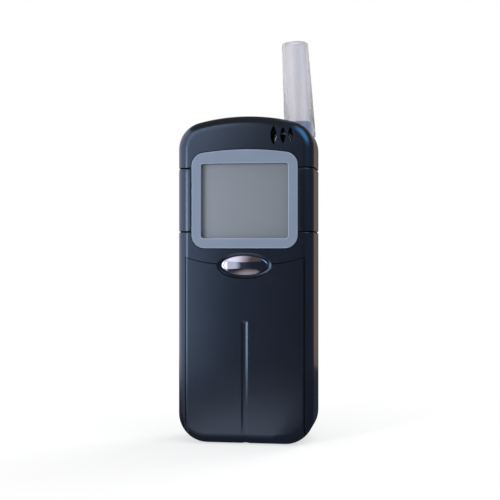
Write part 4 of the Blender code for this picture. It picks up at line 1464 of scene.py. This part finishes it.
def white_floor():
    """A white floor that keeps a soft shadow round the foot and fades into the surround."""
    operator = bpy.ops.mesh.primitive_plane_add
    floor = added("floor", operator, size=40.0, location=(0.0, 0.0, -0.0001))
    material, tree, shader, where = new_finish(
        "white_floor",
        (0.50, 0.50, 0.50, 1.0),
        0.9,
        Specular_IOR_Level=0.0,
        Emission_Color=WHITE,
        Emission_Strength=0.62,
    )
    bright = add_node(tree, "ShaderNodeEmission", Color=WHITE)
    path = add_node(tree, "ShaderNodeLightPath")
    level = add_node(tree, "ShaderNodeMapRange", To_Min=1.0, To_Max=FILL_LEVEL)
    reach = add_node(tree, "ShaderNodeVectorMath", operation="LENGTH")
    fade = add_node(tree, "ShaderNodeMapRange", From_Min=0.04, From_Max=0.16)
    fade.interpolation_type = "SMOOTHSTEP"
    mix = add_node(tree, "ShaderNodeMixShader")
    link(
        tree,
        (path, "Is Diffuse Ray", level, "Value"),
        (level, "Result", bright, "Strength"),
        (where, "Object", reach, 0),
        (reach, "Value", fade, "Value"),
        (fade, "Result", mix, "Fac"),
        (shader, "BSDF", mix, 1),
        (bright, "Emission", mix, 2),
        (mix, "Shader", tree.nodes["Material Output"], "Surface"),
    )
    floor.data.materials.append(material)


def aim(item, target):
    """Turns a lamp or camera to look at a point."""
    direction = Vector(target) - item.location
    item.rotation_euler = direction.to_track_quat("-Z", "Y").to_euler()


def lamp(name, place, size, power, colour=(1.0, 1.0, 1.0)):
    """A soft rectangular lamp that lights the object but doesn't show in it."""
    light = bpy.data.lights.new(name, "AREA")
    light.shape = "RECTANGLE"
    light.size, light.size_y = size
    light.energy = power
    light.color = colour
    item = linked(name, light)
    item.location = place
    aim(item, (0.0, 0.0, 0.07))
    item.visible_glossy = False
    item.visible_transmission = False


def card(name, x, y, z, axis, stops, level=()):
    """A studio card that only mirrors in the object, with its tones along one axis.

    One of x, y and z is a single value, the card's plane, and the other two are its limits.
    A level is (axis, from, to, least): the card dims to the least share towards from.
    """
    limits = [value if isinstance(value, tuple) else (value, value) for value in (x, y, z)]
    middle = [(low + high) / 2 for low, high in limits]
    flat = [low == high for low, high in limits].index(True)
    turn = ((0.0, math.radians(90), 0.0), TO_FRONT, ZERO)[flat]
    operator = bpy.ops.mesh.primitive_plane_add
    item = added(name, operator, size=1.0, location=middle, rotation=turn)
    wide, deep, tall = [high - low for low, high in limits]
    item.scale = ((tall, deep, 1.0), (wide, tall, 1.0), (wide, deep, 1.0))[flat]
    apply_place(item)
    material = bpy.data.materials.new(name)
    material.use_nodes = True
    tree = material.node_tree
    tree.nodes.clear()
    where = add_node(tree, "ShaderNodeTexCoord")
    split = add_node(tree, "ShaderNodeSeparateXYZ")
    low, high = limits["XYZ".index(axis)]
    along = add_node(tree, "ShaderNodeMapRange", From_Min=low, From_Max=high)
    tones = add_node(tree, "ShaderNodeValToRGB")
    set_tones(tones, [((place - low) / (high - low), (*tone, 1.0)) for place, tone in stops])
    glow = add_node(tree, "ShaderNodeEmission", Strength=1.0)
    out = add_node(tree, "ShaderNodeOutputMaterial")
    link(
        tree,
        (where, "Object", split, "Vector"),
        (split, axis, along, "Value"),
        (along, "Result", tones, "Fac"),
        (tones, "Color", glow, "Color"),
        (glow, 0, out, "Surface"),
    )
    if level:
        across, start, end, least = level
        dim = add_node(tree, "ShaderNodeMapRange", From_Min=start, From_Max=end, To_Min=least)
        dim.interpolation_type = "SMOOTHSTEP"
        link(tree, (split, across, dim, "Value"), (dim, "Result", glow, "Strength"))
    item.data.materials.append(material)
    item.visible_camera = False
    item.visible_diffuse = False
    item.visible_shadow = False
    item.visible_transmission = False


WINDOW_GLOW = (1.02, 1.10, 1.24)
WINDOW_BAND = (5.4, 5.2, 5.7)
WINDOW_HIGH = (1.80, 1.74, 1.98)
ROOM_DARK = (0.030, 0.036, 0.060)
ROOM_BROWN = (0.16, 0.12, 0.10)
WARM_DIM = (0.13, 0.10, 0.09)
WARM_REAR = (0.26, 0.20, 0.17)
HALF_LIT = (0.75, 0.68, 0.70)
DUSK = (0.16, 0.14, 0.14)
LIT_WALL = (1.30, 1.25, 1.45)
FLOOR_GLOW = (1.0, 0.88, 0.90)
RIGHT_DIM = (0.12, 0.14, 0.19)
CEILING = (0.13, 0.115, 0.085)
SKY_BLUE = (0.90, 2.30, 4.00)
SKY_DIM = (0.28, 0.68, 1.25)


def reflection_cards():
    """A window to the left and a dim room to the right, as a satin black case shows them."""
    reach, far, high = 0.20, 0.25, 0.30
    across, along = (-reach, reach), (-reach, far)
    upper, lower = (0.125, 0.215), (-0.002, 0.125)
    low = -0.00004
    card(
        "front_high",
        across,
        -reach,
        upper,
        "X",
        (
            (-reach, WINDOW_GLOW),
            (reach, ROOM_BROWN),
            (-0.155, WINDOW_GLOW),
            (-0.145, (2.3, 2.25, 2.5)),
            (-0.062, WINDOW_HIGH),
            (-0.034, HALF_LIT),
            (-0.012, DUSK),
        ),
    )
    card(
        "front_sky",
        across,
        -reach,
        (0.215, high),
        "X",
        (
            (-reach, WINDOW_HIGH),
            (reach, SKY_BLUE),
            (-0.062, WINDOW_HIGH),
            (-0.034, HALF_LIT),
            (-0.012, DUSK),
            (0.055, ROOM_BROWN),
            (0.100, SKY_DIM),
            (0.160, SKY_BLUE),
        ),
    )
    card(
        "front_low",
        across,
        -reach,
        lower,
        "X",
        (
            (-reach, WINDOW_GLOW),
            (reach, WARM_DIM),
            (-0.160, WINDOW_GLOW),
            (-0.150, WINDOW_BAND),
            (-0.095, WINDOW_BAND),
            (-0.087, WINDOW_GLOW),
            (-0.064, WINDOW_GLOW),
            (-0.046, (0.08, 0.09, 0.13)),
            (0.000, ROOM_DARK),
            (0.060, ROOM_DARK),
        ),
    )
    card(
        "left_wall",
        -reach,
        along,
        (-0.002, high),
        "Y",
        (
            (-reach, WINDOW_GLOW),
            (far, (0.55, 0.58, 0.72)),
            (-0.060, (1.35, 1.32, 1.50)),
            (0.050, LIT_WALL),
        ),
    )
    card("right_wall", reach, along, (-0.002, high), "Y", ((-reach, RIGHT_DIM), (far, WARM_DIM)))
    card("ceiling", across, (-0.025, far), high, "X", ((-reach, CEILING), (reach, CEILING)))
    card(
        "ceiling_front",
        across,
        (-reach, -0.025),
        high,
        "X",
        ((-reach, CEILING), (reach, SKY_BLUE), (0.050, CEILING), (0.130, SKY_BLUE)),
    )
    card(
        "right_wall_high",
        reach - 0.001,
        (-reach, -0.04),
        (0.13, high),
        "Z",
        ((0.13, RIGHT_DIM), (high, SKY_BLUE), (0.17, SKY_DIM), (0.21, SKY_BLUE)),
    )
    card(
        "floor_left",
        (-reach, 0.010),
        along,
        low,
        "Y",
        (
            (-reach, (0.10, 0.09, 0.09)),
            (far, ROOM_DARK),
            (-0.174, DUSK),
            (-0.129, (0.45, 0.39, 0.40)),
            (-0.092, (0.74, 0.65, 0.67)),
            (-0.060, FLOOR_GLOW),
            (-0.026, FLOOR_GLOW),
            (-0.014, ROOM_DARK),
        ),
        level=("X", -0.045, -0.014, 0.20),
    )
    card("floor_right", (0.010, reach), along, low, "Y", ((-reach, ROOM_DARK), (far, ROOM_DARK)))
    card(
        "rear_wall",
        across,
        far,
        (-0.002, high),
        "X",
        (
            (-reach, LIT_WALL),
            (reach, WARM_REAR),
            (-0.080, (0.80, 0.78, 0.86)),
            (-0.010, (0.22, 0.23, 0.27)),
            (0.030, WARM_REAR),
        ),
    )


def studio():
    bpy.context.scene.view_settings.view_transform = "Standard"
    world_light()
    white_floor()
    lamp("window_light", (-0.46, -0.77, 0.20), (0.16, 0.30), 4.6, (0.97, 0.98, 1.0))
    lamp("top_light", (0.15, -0.20, 0.95), (0.6, 0.6), 2.0)
    lamp("rear_light", (0.50, 0.70, 0.45), (0.5, 0.5), 4.0)
    reflection_cards()


def camera():
    """Stands level with the middle of the body, a little to the right of its front."""
    azimuth = math.radians(8.8)
    distance = 0.400
    height = 0.0703
    view = bpy.data.cameras.new("camera")
    view.sensor_width = 36.0
    view.lens = 77.2
    view.clip_start = 0.01
    item = linked("camera", view)
    item.location = (distance * math.sin(azimuth), -distance * math.cos(azimuth), height)
    aim(item, (0.0, 0.0, height))
    bpy.context.scene.camera = item


# ---------------------------------------------------------------- the tester
def dress_carried_nodes():
    """The pieces whose solid is already right get their finish in place."""
    slots = {part["node"]: part["material_slot"] for part in frame["record"]["subparts"]}
    for name, item in frame["nodes"].items():
        if item.hide_render:
            continue
        item.data.materials.clear()
        item.data.materials.append(FINISHES[slots[name]])


front_shell()
rear_shell()
front_panel()
side_grip("grip_left", "left_grip", -1)
side_grip("grip_right", "right_grip", 1)
display_frame()
power_key()
blow_tube()
inlet_spigot()
sensor_can()
battery_lid()
housing_screws()
power_cells()
contact_spring("coil_low", "lower_contact_spring", -CELL_X, 0.0091, 0.01205)
contact_spring("coil_high", "upper_contact_spring", CELL_X, 0.0633, 0.06005)
dress_carried_nodes()
studio()
camera()

bpy.context.view_layer.update()
